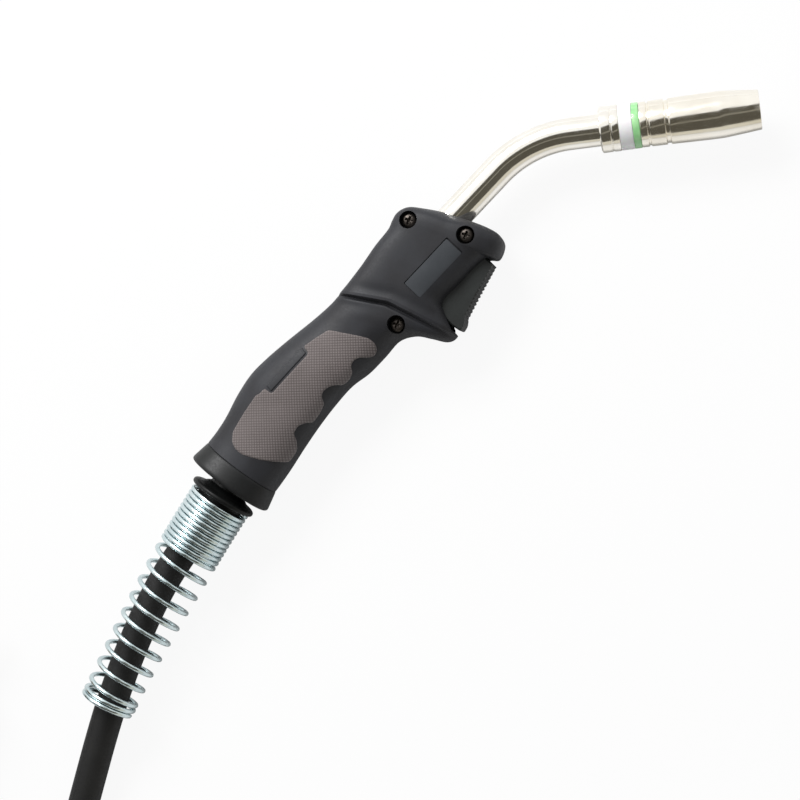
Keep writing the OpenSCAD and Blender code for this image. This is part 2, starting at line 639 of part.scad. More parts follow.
module gas_diffuser() {
    color("#e6dfcf") in_frame() on_front() difference() {
        translate([0, 0, green_at + seat]) cylinder(d = 14, h = diffuser_end - green_at + 6);
        translate([0, 0, green_at]) cylinder(d = holder_od + 2 * fit, h = diffuser_end);
        for (a = [0:60:300]) rotate([0, 0, a])
            translate([0, 0, diffuser_end + 3]) rotate([0, 90, 0]) cylinder(d = 2, h = 10);
    }
}
module tip_holder() {
    color("#b98a4a") in_frame() on_front() difference() {
        union() {
            translate([0, 0, conductor_end + seat]) cylinder(d = holder_od, h = holder_end - 7 - conductor_end);
            translate([0, 0, holder_end - 7]) cylinder(d = 10, h = 7 - fit);
        }
        translate([0, 0, conductor_end]) cylinder(d = liner_od + 0.8, h = 60);
        translate([0, 0, holder_end - 8]) cylinder(d = 6 + 2 * fit, h = 12);
        for (a = [0:90:270]) rotate([0, 0, a])
            translate([0, 0, diffuser_end + 3]) rotate([0, 90, 0]) cylinder(d = 2, h = 10);
    }
}
module contact_tip() {
    color("#c98555") in_frame() on_front() difference() {
        union() {
            translate([0, 0, holder_end - 7.5]) cylinder(d = 6, h = 8);
            translate([0, 0, holder_end]) cylinder(d = tip_od, h = tip_l - 5);
            translate([0, 0, tip_end - 5]) cylinder(d1 = tip_od, d2 = tip_od - 3, h = 5);
        }
        translate([0, 0, holder_end - 10]) cylinder(d = wire_bore, h = tip_l + 20);
        // Two flats for a spanner
        for (s = [-1, 1]) translate([s * 7 - 3.7, -5, holder_end + 4]) cube([7.4, 10, 8]);
    }
}

// ---- Trigger ---------------------------------------------------------------------------
front_top = [-5.5, -31.9];
front_low = [-34.7, -40];
function tooth(i, side) = let(
    d = (front_low - front_top) / teeth, n = [d[1], -d[0]] / norm(d),
    p = front_top + d * (i + side * 0.35))
    p + (side == 0 ? [0, 0] : -n * tooth_depth);
module trigger_side() {
    polygon(concat(
        [[-5.3, -24.5]],
        [for (i = [0:teeth - 1]) for (s = [0, 1]) tooth(i, s)],
        [front_low, [-35.8, -41.2], [-37.2, -42.1], [-39.9, -42.7], [-40.5, -42.2],
            [-41.3, -37.5], [-41, -30], [-40.2, -26], [-21, -21.6], [-12, -21.6]]));
}
module trigger() {
    color("#2d3031") in_frame() difference() {
        union() {
            translate([0, 0, -trigger_w / 2]) linear_extrude(trigger_w) trigger_side();
            translate([pivot[0], pivot[1], -trigger_w / 2]) cylinder(d = 8, h = trigger_w);
        }
        translate([pivot[0], pivot[1], -20]) cylinder(d = pin_d + 2 * slide_fit, h = 40);
        // The return spring's pocket, open at the top
        translate([spring_x, -34, 0]) rotate([-90, 0, 0]) cylinder(d = 6.6, h = 20);
        // The hollow behind the serrated front
        translate([-33, -32.5, -5]) cube([17, 14, 3.4]);
        translate([-33, -32.5, 1.6]) cube([17, 14, 3.4]);
    }
}
module trigger_pin() {
    color("#a9acb0") in_frame()
        translate([pivot[0], pivot[1], -trigger_w / 2 - 2]) cylinder(d = pin_d, h = trigger_w + 4);
}
// A wire of diameter wire wound on a path: points gives the wire's centreline.
module wire_sweep(points, frames, wire, sides) {
    n = len(points);
    pts = [for (i = [0:n - 1]) for (k = [0:sides - 1]) let(a = 360 * k / sides)
        points[i] + frames[i][0] * (wire / 2 * cos(a)) + frames[i][1] * (wire / 2 * sin(a))];
    faces = concat(
        [for (i = [0:n - 2]) for (k = [0:sides - 1]) let(l = (k + 1) % sides) each [
            [i * sides + k, (i + 1) * sides + k, i * sides + l],
            [i * sides + l, (i + 1) * sides + k, (i + 1) * sides + l]]],
        [[for (k = [0:sides - 1]) k]],
        [[for (k = [sides - 1:-1:0]) (n - 1) * sides + k]]);
    polyhedron(pts, faces, convexity = 10);
}
spring_seat_y = slot_top - 0.1;
spring_foot_y = -33.9;
module trigger_spring() {
    turns = 6;
    steps = 10;
    r = 2.4;
    pts = [for (i = [0:turns * steps]) let(a = 360 * i / steps)
        [r * cos(a), spring_foot_y + 0.4 + (spring_seat_y - spring_foot_y - 0.8) * i / (turns * steps), r * sin(a)]];
    frames = [for (i = [0:turns * steps]) let(a = 360 * i / steps) [[cos(a), 0, sin(a)], [0, 1, 0]]];
    color("#b9bcc0") in_frame() translate([spring_x, 0, 0]) wire_sweep(pts, frames, 0.6, 6);
}
plunger_x = -19;
plunger_r = 0.8;
module microswitch_body() {
    color("#1f1f21") in_frame() difference() {
        translate([switch_x[0], switch_y[0], -switch_w / 2])
            cube([switch_x[1] - switch_x[0], switch_y[1] - switch_y[0], switch_w]);
        translate([plunger_x, switch_y[0] - over, 0]) rotate([-90, 0, 0])
            cylinder(r = plunger_r + slide_fit, h = 4 + over);
        for (x = [-29, -24]) translate([x, -13, -over - switch_w]) cylinder(d = 2, h = 3 * switch_w);
    }
}
module switch_terminals() {
    color("#c9b27a") in_frame() for (z = [-1.9, 1.1])
        translate([switch_x[0] - 5, slot_top + 2.2, z]) cube([5, 3.2, 0.8]);
}
module switch_plunger() {
    color("#a63a32") in_frame() translate([plunger_x, -21.45, 0]) rotate([-90, 0, 0])
        cylinder(r = plunger_r, h = 4);
}

// ---- Cable support ---------------------------------------------------------------------
module cable_support() {
    bore_r = lead_d / 2 + 0.6;
    flare = ball_r * tan(swivel + rest_turn) + 0.6;
    neck_to = spring_start - 5.8;
    color("#222324") in_frame() on_support() difference() {
        union() {
            intersection() {
                sphere(r = ball_r);
                translate([0, 0, -7.5]) cylinder(r = 30, h = 7.5 + 13);
            }
            rotate_extrude() polygon([
                [0, 8], [support_neck_r, 8], [support_neck_r, neck_to], [13.6, neck_to + 2.6],
                [flange_d / 2 - 1, neck_to + 3], [flange_d / 2, neck_to + 3.8],
                [flange_d / 2, neck_to + 5], [flange_d / 2 - 0.6, spring_start - 0.1],
                [spring_od / 2 - spring_wire - 0.25, spring_start - 0.1],
                [spring_od / 2 - spring_wire - 0.25, spring_start + 8], [0, spring_start + 8]]);
        }
        translate([0, 0, -20]) cylinder(r = bore_r, h = 80);
        translate([0, 0, -ball_r]) cylinder(r1 = bore_r + flare, r2 = bore_r, h = ball_r);
    }
}
function spring_radius(s) = let(a = spring_od / 2 - spring_wire / 2, b = spring_end_od / 2 - spring_wire / 2)
    s < tight_l ? a : mix(a, b, blend((s - tight_l) / open_l));
// How far along its axis the relief spring has come after a number of turns.
function spring_along(t) = t < tight_turns ? t * tight_pitch
    : t < tight_turns + open_turns ? tight_l + (t - tight_turns) * open_pitch
    : tight_l + open_l + (t - tight_turns - open_turns) * tight_pitch;
module relief_spring() {
    steps = 14;
    total = (tight_turns + open_turns + end_turns) * steps;
    along = [for (i = [0:total]) spring_along(i / steps) + spring_wire / 2];
    out = [for (i = [0:total]) let(a = -360 * i / steps, d = spring_turn(along[i]))
        [-sin(d) * cos(a), cos(d) * cos(a), sin(a)]];
    pts = [for (i = [0:total]) let(c = spring_axis(along[i])) [c[0], c[1], 0] + out[i] * spring_radius(along[i])];
    frames = [for (i = [0:total]) let(d = spring_turn(along[i])) [out[i], [cos(d), sin(d), 0]]];
    color("#c3cacb") in_frame() wire_sweep(pts, frames, spring_wire, 6);
}

// ---- Lead ------------------------------------------------------------------------------
// The lead's centreline from the knuckle's centre to the coil: x and y from that centre, z over
// the bench.
ROUTE = [
    [-1.5, -0.3, 19.5], [-20, -3.7, 19.5], [-40, -6.4, 19.1], [-56, -8, 18.7], [-72, -11, 18.3],
    [-88, -15.5, 17.9], [-104, -21, 17.5], [-120, -27.3, 17], [-136, -34.4, 16.2], [-152, -42, 14.4],
    [-170, -51, 12], [-190, -61.2, 9.6], [-210, -71.4, 8.3], [-232, -82.6, 8], [-256, -94.8, 8],
    [-280, -107.1, 8], [-289.8, -112.1, 8]
];
function flat(v) = [v[0], v[1], 0];
module lead_tube() {
    sides = 10;
    n = len(ROUTE);
    dirs = [for (i = [0:n - 1]) let(d = ROUTE[min(n - 1, i + 1)] - ROUTE[max(0, i - 1)]) d / norm(d)];
    outs = [for (d = dirs) let(f = cross(d, [0, 0, 1])) f / norm(f)];
    color("#2a2a2b") translate([knuckle_row[0], knuckle_row[1], 0])
        wire_sweep(ROUTE, [for (i = [0:n - 1]) [outs[i], cross(outs[i], dirs[i])]], lead_d, sides);
}
coil_at = [knuckle_row[0] - coil_back, knuckle_row[1] - coil_side];
coil_outer = coil_r + lead_d / 2 + 0.5;
coil_inner = coil_outer - coil_columns * lead_d - 1;
coil_h = coil_layers * lead_d + 0.5;
module lead_coil() {
    c = 5;
    color("#2a2a2b") translate([coil_at[0], coil_at[1], 0]) rotate_extrude($fn = 96) polygon([
        [coil_inner + c, 0], [coil_outer - c, 0], [coil_outer, c], [coil_outer, coil_h - c],
        [coil_outer - c, coil_h], [coil_inner + c, coil_h], [coil_inner, coil_h - c], [coil_inner, c]]);
}
tie_wall = 1.5;
module coil_tie() {
    gap = 0.2;
    color("#1d1d1f") translate([coil_at[0], coil_at[1], 0]) rotate([0, 0, 150])
        translate([coil_inner - gap - tie_wall, -6, 0]) difference() {
            cube([coil_outer - coil_inner + 2 * (gap + tie_wall), 12, coil_h + gap + tie_wall]);
            translate([tie_wall, -over, -over])
                cube([coil_outer - coil_inner + 2 * gap, 12 + 2 * over, coil_h + gap + over]);
        }
}
tail_r = coil_r - lead_d;                     // the turn that the lead leaves the coil from
plug_z = plug_d / 2;
plug_at = [coil_at[0] + 90, coil_at[1] + tail_r, plug_z];
tail_start = 79.6;
module on_plug() {
    translate(plug_at) rotate([0, 90, 0]) children();
}
module lead_tail() {
    color("#2a2a2b") translate([coil_at[0] + tail_start, coil_at[1] + tail_r, plug_z])
        rotate([0, 90, 0]) cylinder(d = lead_d, h = 90 - tail_start + 34);
}

// ---- Plug ------------------------------------------------------------------------------
boot_l = 44;
housing_at = 36;
housing_end = housing_at + plug_l;
body_end = housing_end + nut_l - 4;
module plug_boot() {
    color("#202122") on_plug() difference() {
        union() {
            rotate_extrude() polygon([[0, 0], [lead_d / 2 + 1.8, 0], [lead_d / 2 + 2.4, 1], [13.5, boot_l - 4],
                [13.5, boot_l], [0, boot_l]]);
            for (x = [6:6:30]) translate([0, 0, x]) cylinder(d = 2 * (lead_d / 2 + 3 + x * 0.085), h = 3);
        }
        translate([0, 0, -over]) cylinder(r = lead_d / 2 + fit, h = boot_l + 2 * over);
    }
}
module plug_housing() {
    wall = 3;
    color("#2c2d30") on_plug() difference() {
        union() {
            rotate_extrude() polygon([
                [0, housing_at], [15, housing_at], [17, housing_at + 1.5], [18, housing_at + 14],
                [plug_d / 2 - 1.5, housing_at + 34], [plug_d / 2, housing_at + 42],
                [plug_d / 2, housing_end - 1], [plug_d / 2 - 1, housing_end], [0, housing_end]]);
            for (a = [45:90:315]) rotate([0, 0, a])
                translate([plug_d / 2 - 6.5, -2, housing_at + 20]) cube([4, 4, 16]);
        }
        translate([0, 0, housing_at - over]) cylinder(d = 27 + 2 * fit, h = boot_l - housing_at + over);
        translate([0, 0, boot_l - 0.1]) cylinder(d = 20, h = plug_l);
        translate([0, 0, housing_end - 16]) cylinder(d = 2 * (control_pin_r + 5) + 2 * fit, h = 17);
    }
}
module plug_body() {
    r = control_pin_r + 5;
    color("#c49a48") on_plug() difference() {
        union() {
            translate([0, 0, housing_end - 15.9]) cylinder(r = r, h = body_end - housing_end + 15.9);
            translate([0, 0, 60]) cylinder(d = 18, h = housing_end - 75);
        }
        translate([0, 0, 50]) cylinder(d = 5, h = 100);
        translate([0, 0, body_end - 12]) cylinder(d = main_pin_d + 2 * fit, h = 12 + over);
        for (s = [-1, 1]) translate([s * control_pin_r, 0, body_end - 14])
            cylinder(d = control_pin_d + 2 * slide_fit, h = 15);
    }
}
module plug_main_pin() {
    color("#d2aa58") on_plug() translate([0, 0, body_end - 11.9]) difference() {
        cylinder(d = main_pin_d, h = main_pin_l + 11.9);
        translate([0, 0, -over]) cylinder(d = 4.8, h = 60);
        translate([0, 0, 11.9 + main_pin_l - 10]) ring(main_pin_d / 2 - 1.2, main_pin_d, 2.2);
    }
}
module plug_oring() {
    color("#151515") on_plug() translate([0, 0, body_end + main_pin_l - 8.9]) rotate_extrude()
        translate([main_pin_d / 2 - 0.2, 0]) circle(d = 1.9, $fn = 24);
}
module liner_nut() {
    color("#c49a48") on_plug() translate([0, 0, body_end + main_pin_l + fit]) difference() {
        cylinder(d = main_pin_d + 0.6, h = 6, $fn = 6);
        translate([0, 0, -over]) cylinder(d = 2.4, h = 10);
    }
}
module plug_nut() {
    inner_r = control_pin_r + 5 + free;
    color("#8f9296") on_plug() difference() {
        translate([0, 0, housing_end + free]) rotate_extrude() polygon([
            [inner_r, 0], [nut_od / 2 - 1, 0], [nut_od / 2, 1], [nut_od / 2, nut_l - 1.5],
            [nut_od / 2 - 1.5, nut_l], [inner_r + 2.5, nut_l], [inner_r + 2.5, 8], [inner_r, 6]]);
        for (a = [0:15:345]) rotate([0, 0, a])
            translate([nut_od / 2 + 0.6, 0, housing_end - over]) cylinder(d = 3, h = nut_l - 2 + over);
    }
}
module control_pin(s) {
    color("#d8b36a") on_plug() translate([s * control_pin_r, 0, body_end - 13.9 + control_travel])
        union() {
            cylinder(d = control_pin_d, h = 13.9 - control_travel + 10);
            translate([0, 0, 23.9 - control_travel]) cylinder(d1 = control_pin_d, d2 = 2.4, h = 1);
        }
}
module control_pin_upper() {
    control_pin(-1);
}
module control_pin_lower() {
    control_pin(1);
}

housing_right_shell();
housing_left_shell();
grip_pad_right();
grip_pad_left();
housing_screws();
rear_sleeve();
neck_tube();
neck_insulation();
neck_conductor();
wire_liner();
neck_seat_block();
cable_ferrule();
lead_in_handle();
front_collar();
nozzle_insulator();
green_ring();
gas_diffuser();
tip_holder();
contact_tip();
nozzle_spring();
gas_nozzle();
trigger();
trigger_pin();
trigger_spring();
microswitch_body();
switch_terminals();
switch_plunger();
cable_support();
relief_spring();
lead_tube();
lead_coil();
coil_tie();
lead_tail();
plug_boot();
plug_housing();
plug_body();
plug_nut();
plug_main_pin();
plug_oring();
liner_nut();
control_pin_upper();
control_pin_lower();
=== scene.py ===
"""A MIG welding torch lying on its left side on a pale bench, with its coiled lead and plug.

Lengths in this file are millimetres in the torch's own frame, as in the part's source: x and y
run from the point where the neck leaves the handle, and z from the handle's parting plane.
"""

from __future__ import annotations

import logging
from dataclasses import dataclass, field
from enum import Enum
from typing import Callable, Iterable

import bmesh
import bpy
import numpy as np
from mathutils import Matrix, Vector

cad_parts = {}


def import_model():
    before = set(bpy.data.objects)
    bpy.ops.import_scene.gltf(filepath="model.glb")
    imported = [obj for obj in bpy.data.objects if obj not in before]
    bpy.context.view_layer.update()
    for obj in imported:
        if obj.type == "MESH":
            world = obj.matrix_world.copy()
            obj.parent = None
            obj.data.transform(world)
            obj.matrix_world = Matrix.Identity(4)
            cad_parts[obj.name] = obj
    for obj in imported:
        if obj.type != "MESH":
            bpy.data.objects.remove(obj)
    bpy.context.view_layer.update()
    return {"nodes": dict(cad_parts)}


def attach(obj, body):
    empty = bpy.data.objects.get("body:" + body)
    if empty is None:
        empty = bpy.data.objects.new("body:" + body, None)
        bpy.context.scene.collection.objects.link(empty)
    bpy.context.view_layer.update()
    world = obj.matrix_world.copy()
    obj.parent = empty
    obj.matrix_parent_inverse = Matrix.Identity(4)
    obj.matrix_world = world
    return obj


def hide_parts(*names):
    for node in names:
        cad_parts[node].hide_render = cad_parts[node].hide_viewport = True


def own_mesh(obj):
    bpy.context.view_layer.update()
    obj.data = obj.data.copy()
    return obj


LOG = logging.getLogger("torch")
Array = np.ndarray
Socket = bpy.types.NodeSocket


# ---- Frame -----------------------------------------------------------------------------


@dataclass(frozen=True)
class Layout:
    """Where the torch's own frame lies in the part's frame."""

    origin_x: float = 79.860
    origin_y: float = 30.290
    mid_z: float = 19.5

    def place(self, points: Array) -> Array:
        """Torch points in millimetres as part points in metres.

        Args:
            points: an array whose last axis is x, y, z.

        Returns:
            The same array, shifted and scaled.
        """
        return (np.asarray(points, float) + (self.origin_x, self.origin_y, self.mid_z)) / 1000


LAYOUT = Layout()


# ---- Colours, nodes and finishes -------------------------------------------------------


def linear(hex_code: str, alpha: float = 1.0) -> tuple[float, float, float, float]:
    """An sRGB hex colour as linear light.

    Args:
        hex_code: six hex digits after a hash sign.
        alpha: the fourth value.

    Returns:
        Red, green, blue and alpha.
    """
    parts = [int(hex_code[i : i + 2], 16) / 255 for i in (1, 3, 5)]
    return (*[p / 12.92 if p <= 0.04045 else ((p + 0.055) / 1.055) ** 2.4 for p in parts], alpha)


def add(
    tree: bpy.types.NodeTree, kind: str, settings: dict | None = None, links: dict | None = None
) -> bpy.types.Node:
    """Adds a node.

    Args:
        tree: the tree that gets it.
        kind: the node's type name.
        settings: attributes, or input values under "in:" names or numbers.
        links: input names or numbers, each with the socket that feeds it.

    Returns:
        The node.
    """
    node = tree.nodes.new(kind)
    for key, value in (settings or {}).items():
        if isinstance(key, int):
            node.inputs[key].default_value = value
        elif key.startswith("in:"):
            node.inputs[key[3:]].default_value = value
        else:
            setattr(node, key, value)
    for key, source in (links or {}).items():
        tree.links.new(source, node.inputs[key])
    return node


class Tree:
    """A material's node tree with its shader, ready for a pattern."""

    def __init__(self, name: str) -> None:
        """Makes an empty material with object coordinates at hand."""
        self.material = bpy.data.materials.new(name)
        self.material.use_nodes = True
        self.tree = self.material.node_tree
        self.tree.nodes.clear()
        self.coords = add(self.tree, "ShaderNodeTexCoord").outputs["Object"]
        self.shader = add(self.tree, "ShaderNodeBsdfPrincipled")
        out = add(self.tree, "ShaderNodeOutputMaterial")
        self.tree.links.new(self.shader.outputs[0], out.inputs[0])

    def node(self, kind: str, settings: dict | None = None, links: dict | None = None) -> bpy.types.Node:
        """Adds a node to this tree."""
        return add(self.tree, kind, settings, links)

    def set(self, **values: float | tuple) -> None:
        """Sets the shader's own sockets, with underscores for spaces."""
        for key, value in values.items():
            self.shader.inputs[key.replace("_", " ")].default_value = value

    def link(self, socket: Socket, name: str) -> None:
        """Feeds one of the shader's sockets."""
        self.tree.links.new(socket, self.shader.inputs[name])

    def noise(self, size_mm: float, detail: float = 2.0, stretch: tuple = (1, 1, 1)) -> Socket:
        """A noise whose features are about size_mm across, and stretch times longer by axis."""
        scale = {"in:Scale": tuple(1000 / size_mm / s for s in stretch)}
        grid = self.node("ShaderNodeMapping", scale, {"Vector": self.coords})
        settings = {"in:Scale": 1.0, "in:Detail": detail}
        return self.node("ShaderNodeTexNoise", settings, {"Vector": grid.outputs[0]}).outputs["Fac"]

    def ramp(self, source: Socket, low: float, high: float, first: float, last: float) -> Socket:
        """Maps a value from low..high to first..last, without running past them."""
        span = {1: low, 2: high, 3: first, 4: last}
        return self.node("ShaderNodeMapRange", span, {0: source}).outputs[0]

    def blend(self, factor: Socket, first: tuple, last: tuple) -> Socket:
        """A colour between two, by factor."""
        mix = self.node("ShaderNodeMix", {"data_type": "RGBA"}, {0: factor})
        mix.inputs[6].default_value = first
        mix.inputs[7].default_value = last
        return mix.outputs[2]

    def math(self, operation: str, first: Socket | float, second: Socket | float = 0.0) -> Socket:
        """One step of arithmetic."""
        node = self.node("ShaderNodeMath", {"operation": operation})
        for i, value in enumerate((first, second)):
            if isinstance(value, (int, float)):
                node.inputs[i].default_value = value
            else:
                self.tree.links.new(value, node.inputs[i])
        return node.outputs[0]

    def bump(self, height: Socket, depth_mm: float) -> None:
        """Raises the surface by a height of 0 to 1 times depth_mm."""
        settings = {"in:Strength": 1.0, "in:Distance": depth_mm / 1000}
        self.link(self.node("ShaderNodeBump", settings, {"Height": height}).outputs[0], "Normal")

    def mottle(self, noise: Socket, low: float, high: float, first: str, last: str) -> None:
        """Passes the colour from one hex colour to another as a noise goes from low to high."""
        share = self.ramp(noise, low, high, 0, 1)
        self.link(self.blend(share, linear(first), linear(last)), "Base Color")

    def gloss(self, marks: Socket, low: float, high: float) -> None:
        """Varies the roughness between two values with the surface's marks."""
        self.link(self.ramp(marks, 0.3, 0.7, low, high), "Roughness")


@dataclass(frozen=True)
class MouldedPlastic:
    """Glass-filled nylon from a spark-eroded mould: a fine matte grain and soft highlights."""

    name: str
    colour: str
    dark: str
    roughness: float = 0.45
    grain_mm: float = 0.9
    grain_depth_mm: float = 0.015
    specular: float = 0.5

    def make(self) -> bpy.types.Material:
        """The material: mottled colour over centimetres, grain in the bump and the gloss."""
        t = Tree(self.name)
        t.mottle(t.noise(14, 3), 0.35, 0.65, self.dark, self.colour)
        grain = t.noise(self.grain_mm, 3)
        t.gloss(grain, self.roughness - 0.05, self.roughness + 0.07)
        t.bump(grain, self.grain_depth_mm)
        t.set(IOR=1.53, Specular_IOR_Level=self.specular)
        return t.material


# The studs' spacing, the turn of their rows against the part's axes, and the power of their
# height, which broadens their tops.
STUD_MM = 1.3
STUD_TURN_DEG = 45.0
STUD_POWER = 0.6


def stud_pattern(points: Array) -> Array:
    """The grips' studs as a height from 0 to 1: two crossed rows of rounded ridges, multiplied.

    Args:
        points: part points in metres, as an array whose last axis is x, y, z.

    Returns:
        One height for each point.
    """
    a = np.radians(STUD_TURN_DEG)
    across = points[..., 0] * np.cos(a) - points[..., 1] * np.sin(a)
    along = points[..., 0] * np.sin(a) + points[..., 1] * np.cos(a)
    ridges = [np.abs(np.sin(v * np.pi * 1000 / STUD_MM)) for v in (across, along)]
    return (ridges[0] * ridges[1]) ** STUD_POWER


@dataclass(frozen=True)
class StudGrip:
    """Moulded thermoplastic rubber with a fine field of square studs, with painted shade between them."""

    name: str = "soft grip rubber"
    colour: str = "#797170"
    # groove: the darker colour in the grooves between the studs, a painted shade
    groove: str = "#4f4846"
    depth_mm: float = 0.06

    def make(self) -> bpy.types.Material:
        """The material: two crossed rows of rounded ridges multiply into studs, as in the mesh."""
        t = Tree(self.name)
        turn = {"in:Rotation": (0, 0, np.radians(STUD_TURN_DEG))}
        grid = t.node("ShaderNodeMapping", turn, {"Vector": t.coords})
        axes = t.node("ShaderNodeSeparateXYZ", links={0: grid.outputs[0]})
        waves = [t.math("MULTIPLY", axes.outputs[i], np.pi * 1000 / STUD_MM) for i in (0, 1)]
        rows = [t.math("ABSOLUTE", t.math("SINE", wave)) for wave in waves]
        studs = t.math("POWER", t.math("MULTIPLY", rows[0], rows[1]), STUD_POWER)
        worn = t.ramp(t.noise(22, 3), 0.35, 0.65, -0.12, 0.12)
        # The colour falls from the studs' tops to the groove colour between them: painted shade in the
        # recesses.
        t.link(t.blend(t.math("ADD", studs, worn), linear(self.groove), linear(self.colour)), "Base Color")
        t.bump(studs, self.depth_mm)
        t.set(Roughness=0.72, IOR=1.5, Specular_IOR_Level=0.35, Sheen_Weight=0.15, Sheen_Roughness=0.5)
        return t.material


@dataclass(frozen=True)
class Metal:
    """A metal or a plated one, with the marks of how its surface was made."""

    name: str
    colour: str
    tint: str
    roughness: float = 0.15
    mark_mm: float = 3.0
    stretch: tuple[float, float, float] = (1, 1, 1)
    mark_depth_mm: float = 0.002
    haze: float = 0.06

    def make(self) -> bpy.types.Material:
        """The material: marks change the gloss and, a little, the surface and its tint."""
        t = Tree(self.name)
        marks = t.noise(self.mark_mm, 4, self.stretch)
        t.mottle(t.noise(18, 2), 0.35, 0.65, self.colour, self.tint)
        t.gloss(marks, self.roughness - self.haze / 2, self.roughness + self.haze)
        t.bump(marks, self.mark_depth_mm)
        t.set(Metallic=1.0)
        return t.material


@dataclass(frozen=True)
class ClearCollar:
    """Tinted polycarbonate: glossy, with light passing into it."""

    name: str
    colour: str
    deep: str
    glow_mm: float = 2.0
    roughness: float = 0.18

    def make(self) -> bpy.types.Material:
        """The material: a tint that varies softly, and light scattered below the surface."""
        t = Tree(self.name)
        t.mottle(t.noise(6, 2), 0.3, 0.7, self.deep, self.colour)
        t.set(
            Roughness=self.roughness,
            IOR=1.58,
            Subsurface_Weight=0.35,
            Subsurface_Radius=(0.5, 1.0, 0.6),
            Subsurface_Scale=self.glow_mm / 1000,
            Coat_Weight=0.3,
            Coat_Roughness=0.1,
        )
        return t.material


@dataclass(frozen=True)
class Sheath:
    """Extruded chloroprene rubber: dull black, with the faint wrap marks of its making."""

    name: str
    colour: str
    dust: str
    roughness: float = 0.62
    mark_mm: float = 1.4
    depth_mm: float = 0.03

    def make(self) -> bpy.types.Material:
        """The material: dust in patches of centimetres, a fine pebble in the bump."""
        t = Tree(self.name)
        t.mottle(t.noise(30, 4), 0.45, 0.75, self.colour, self.dust)
        pebble = t.noise(self.mark_mm, 3)
        t.gloss(pebble, self.roughness - 0.08, self.roughness + 0.08)
        t.bump(pebble, self.depth_mm)
        t.set(IOR=1.52, Specular_IOR_Level=0.32)
        return t.material


@dataclass(frozen=True)
class HookStrap:
    """Woven hook-and-loop strap: a 0.8 mm weave with a soft sheen."""

    name: str = "woven strap"
    colour: str = "#1c1c1e"
    thread: str = "#2e2e31"
    thread_mm: float = 0.8

    def make(self) -> bpy.types.Material:
        """The material: threads over and under, from two crossed sines."""
        t = Tree(self.name)
        axes = t.node("ShaderNodeSeparateXYZ", links={0: t.coords})
        turns = [t.math("MULTIPLY", axes.outputs[i], 2000 * np.pi / self.thread_mm) for i in (0, 1)]
        waves = [t.math("SINE", turn) for turn in turns]
        weave = t.math("ADD", t.math("MULTIPLY", t.math("MULTIPLY", waves[0], waves[1]), 0.5), 0.5)
        t.link(t.blend(weave, linear(self.colour), linear(self.thread)), "Base Color")
        t.bump(weave, 0.12)
        t.set(Roughness=0.85, Sheen_Weight=0.3, Sheen_Roughness=0.4)
        return t.material


class Finish(Enum):
    """Every finish of the torch."""

    SHELL = MouldedPlastic("glass-filled nylon shell", "#2b2c30", "#242427", 0.54, specular=0.27)
    SLEEVE = MouldedPlastic("glass-filled nylon sleeve", "#1d1e1f", "#181919", 0.44, specular=0.24)
    TRIGGER = MouldedPlastic("moulded nylon trigger", "#252827", "#1e201f", 0.4, 0.7, specular=0.26)
    SUPPORT = MouldedPlastic("moulded nylon cable support", "#0f1010", "#0c0d0d", 0.44, specular=0.2)
    PLATE = MouldedPlastic("moulded plate", "#424549", "#3c3f43", 0.42, 0.5, 0.006, 0.3)
    PLUG = MouldedPlastic("moulded nylon plug", "#2e2f32", "#242528", 0.45)
    SWITCH = MouldedPlastic("phenolic switch case", "#202022", "#18181a", 0.3)
    PLUNGER = MouldedPlastic("acetal plunger", "#a63a32", "#94332b", 0.3)
    SLEEVING = MouldedPlastic("fluoropolymer sleeve", "#e6e2d8", "#d9d4c8", 0.35)
    GRIP = StudGrip()
    NICKEL = Metal("polished nickel plate", "#fbf8f1", "#f4f0e6", 0.11, 2.5, (1, 1, 1), 0.0012, 0.05)
    NOZZLE = Metal("polished nickel plate, turned", "#fcf8ee", "#f3ede0", 0.13, 1.2, (6, 6, 1), 0.001, 0.07)
    ZINC = Metal("bright zinc on drawn wire", "#d9e6e8", "#cadadd", 0.2, 0.8, (1, 1, 1), 0.004, 0.08)
    STEEL = Metal("bright steel", "#b9bcc0", "#a9acb0", 0.25, 1.0)
    SCREW = Metal("black oxide on steel", "#5d5752", "#4a4541", 0.42, 0.6, (1, 1, 1), 0.004, 0.1)
    COPPER = Metal("turned copper", "#c98a5e", "#b97a50", 0.28, 0.6, (8, 8, 1), 0.004, 0.1)
    BRASS = Metal("turned brass", "#cfa75a", "#c0964a", 0.26, 0.6, (8, 8, 1), 0.004, 0.1)
    INSULATOR = ClearCollar("white glass-filled insulator", "#f2f2f2", "#ebebea", 0.8, 0.35)
    GREEN = ClearCollar("green polycarbonate ring", "#b2e6aa", "#8ad08a", 2.0, 0.16)
    HOSE = Sheath("chloroprene cable sheath", "#181818", "#222221")
    BOOT = Sheath("moulded rubber boot", "#191919", "#202020", 0.55)
    ORING = Sheath("nitrile ring", "#161616", "#1d1d1d", 0.4)
    STRAP = HookStrap()

    def material(self) -> bpy.types.Material:
        """The finish's one material, made at its first use."""
        return bpy.data.materials.get(self.value.name) or self.value.make()


# ---- Surfaces --------------------------------------------------------------------------

UP = np.array([0.0, 0.0, 1.0])


def linked(name: str, data: bpy.types.ID) -> bpy.types.Object:
    """A new object at the origin with the given data, linked to the scene."""
    made = bpy.data.objects.new(name, data)
    bpy.context.scene.collection.objects.link(made)
    return made


def shade_smooth(mesh: bpy.types.Mesh, sharp_deg: float) -> None:
    """Shades a mesh smooth, apart from the edges that turn more than sharp_deg."""
    mesh.polygons.foreach_set("use_smooth", np.ones(len(mesh.polygons), bool))
    mesh.set_sharp_from_angle(angle=np.radians(sharp_deg))


def unit(v: Array) -> Array:
    """Vectors divided by their lengths."""
    return v / np.maximum(np.linalg.norm(v, axis=-1, keepdims=True), 1e-12)


def smooth(t: Array) -> Array:
    """An S-shaped step from 0 to 1: 3 t squared less 2 t cubed."""
    c = np.clip(t, 0, 1)
    return c * c * (3 - 2 * c)


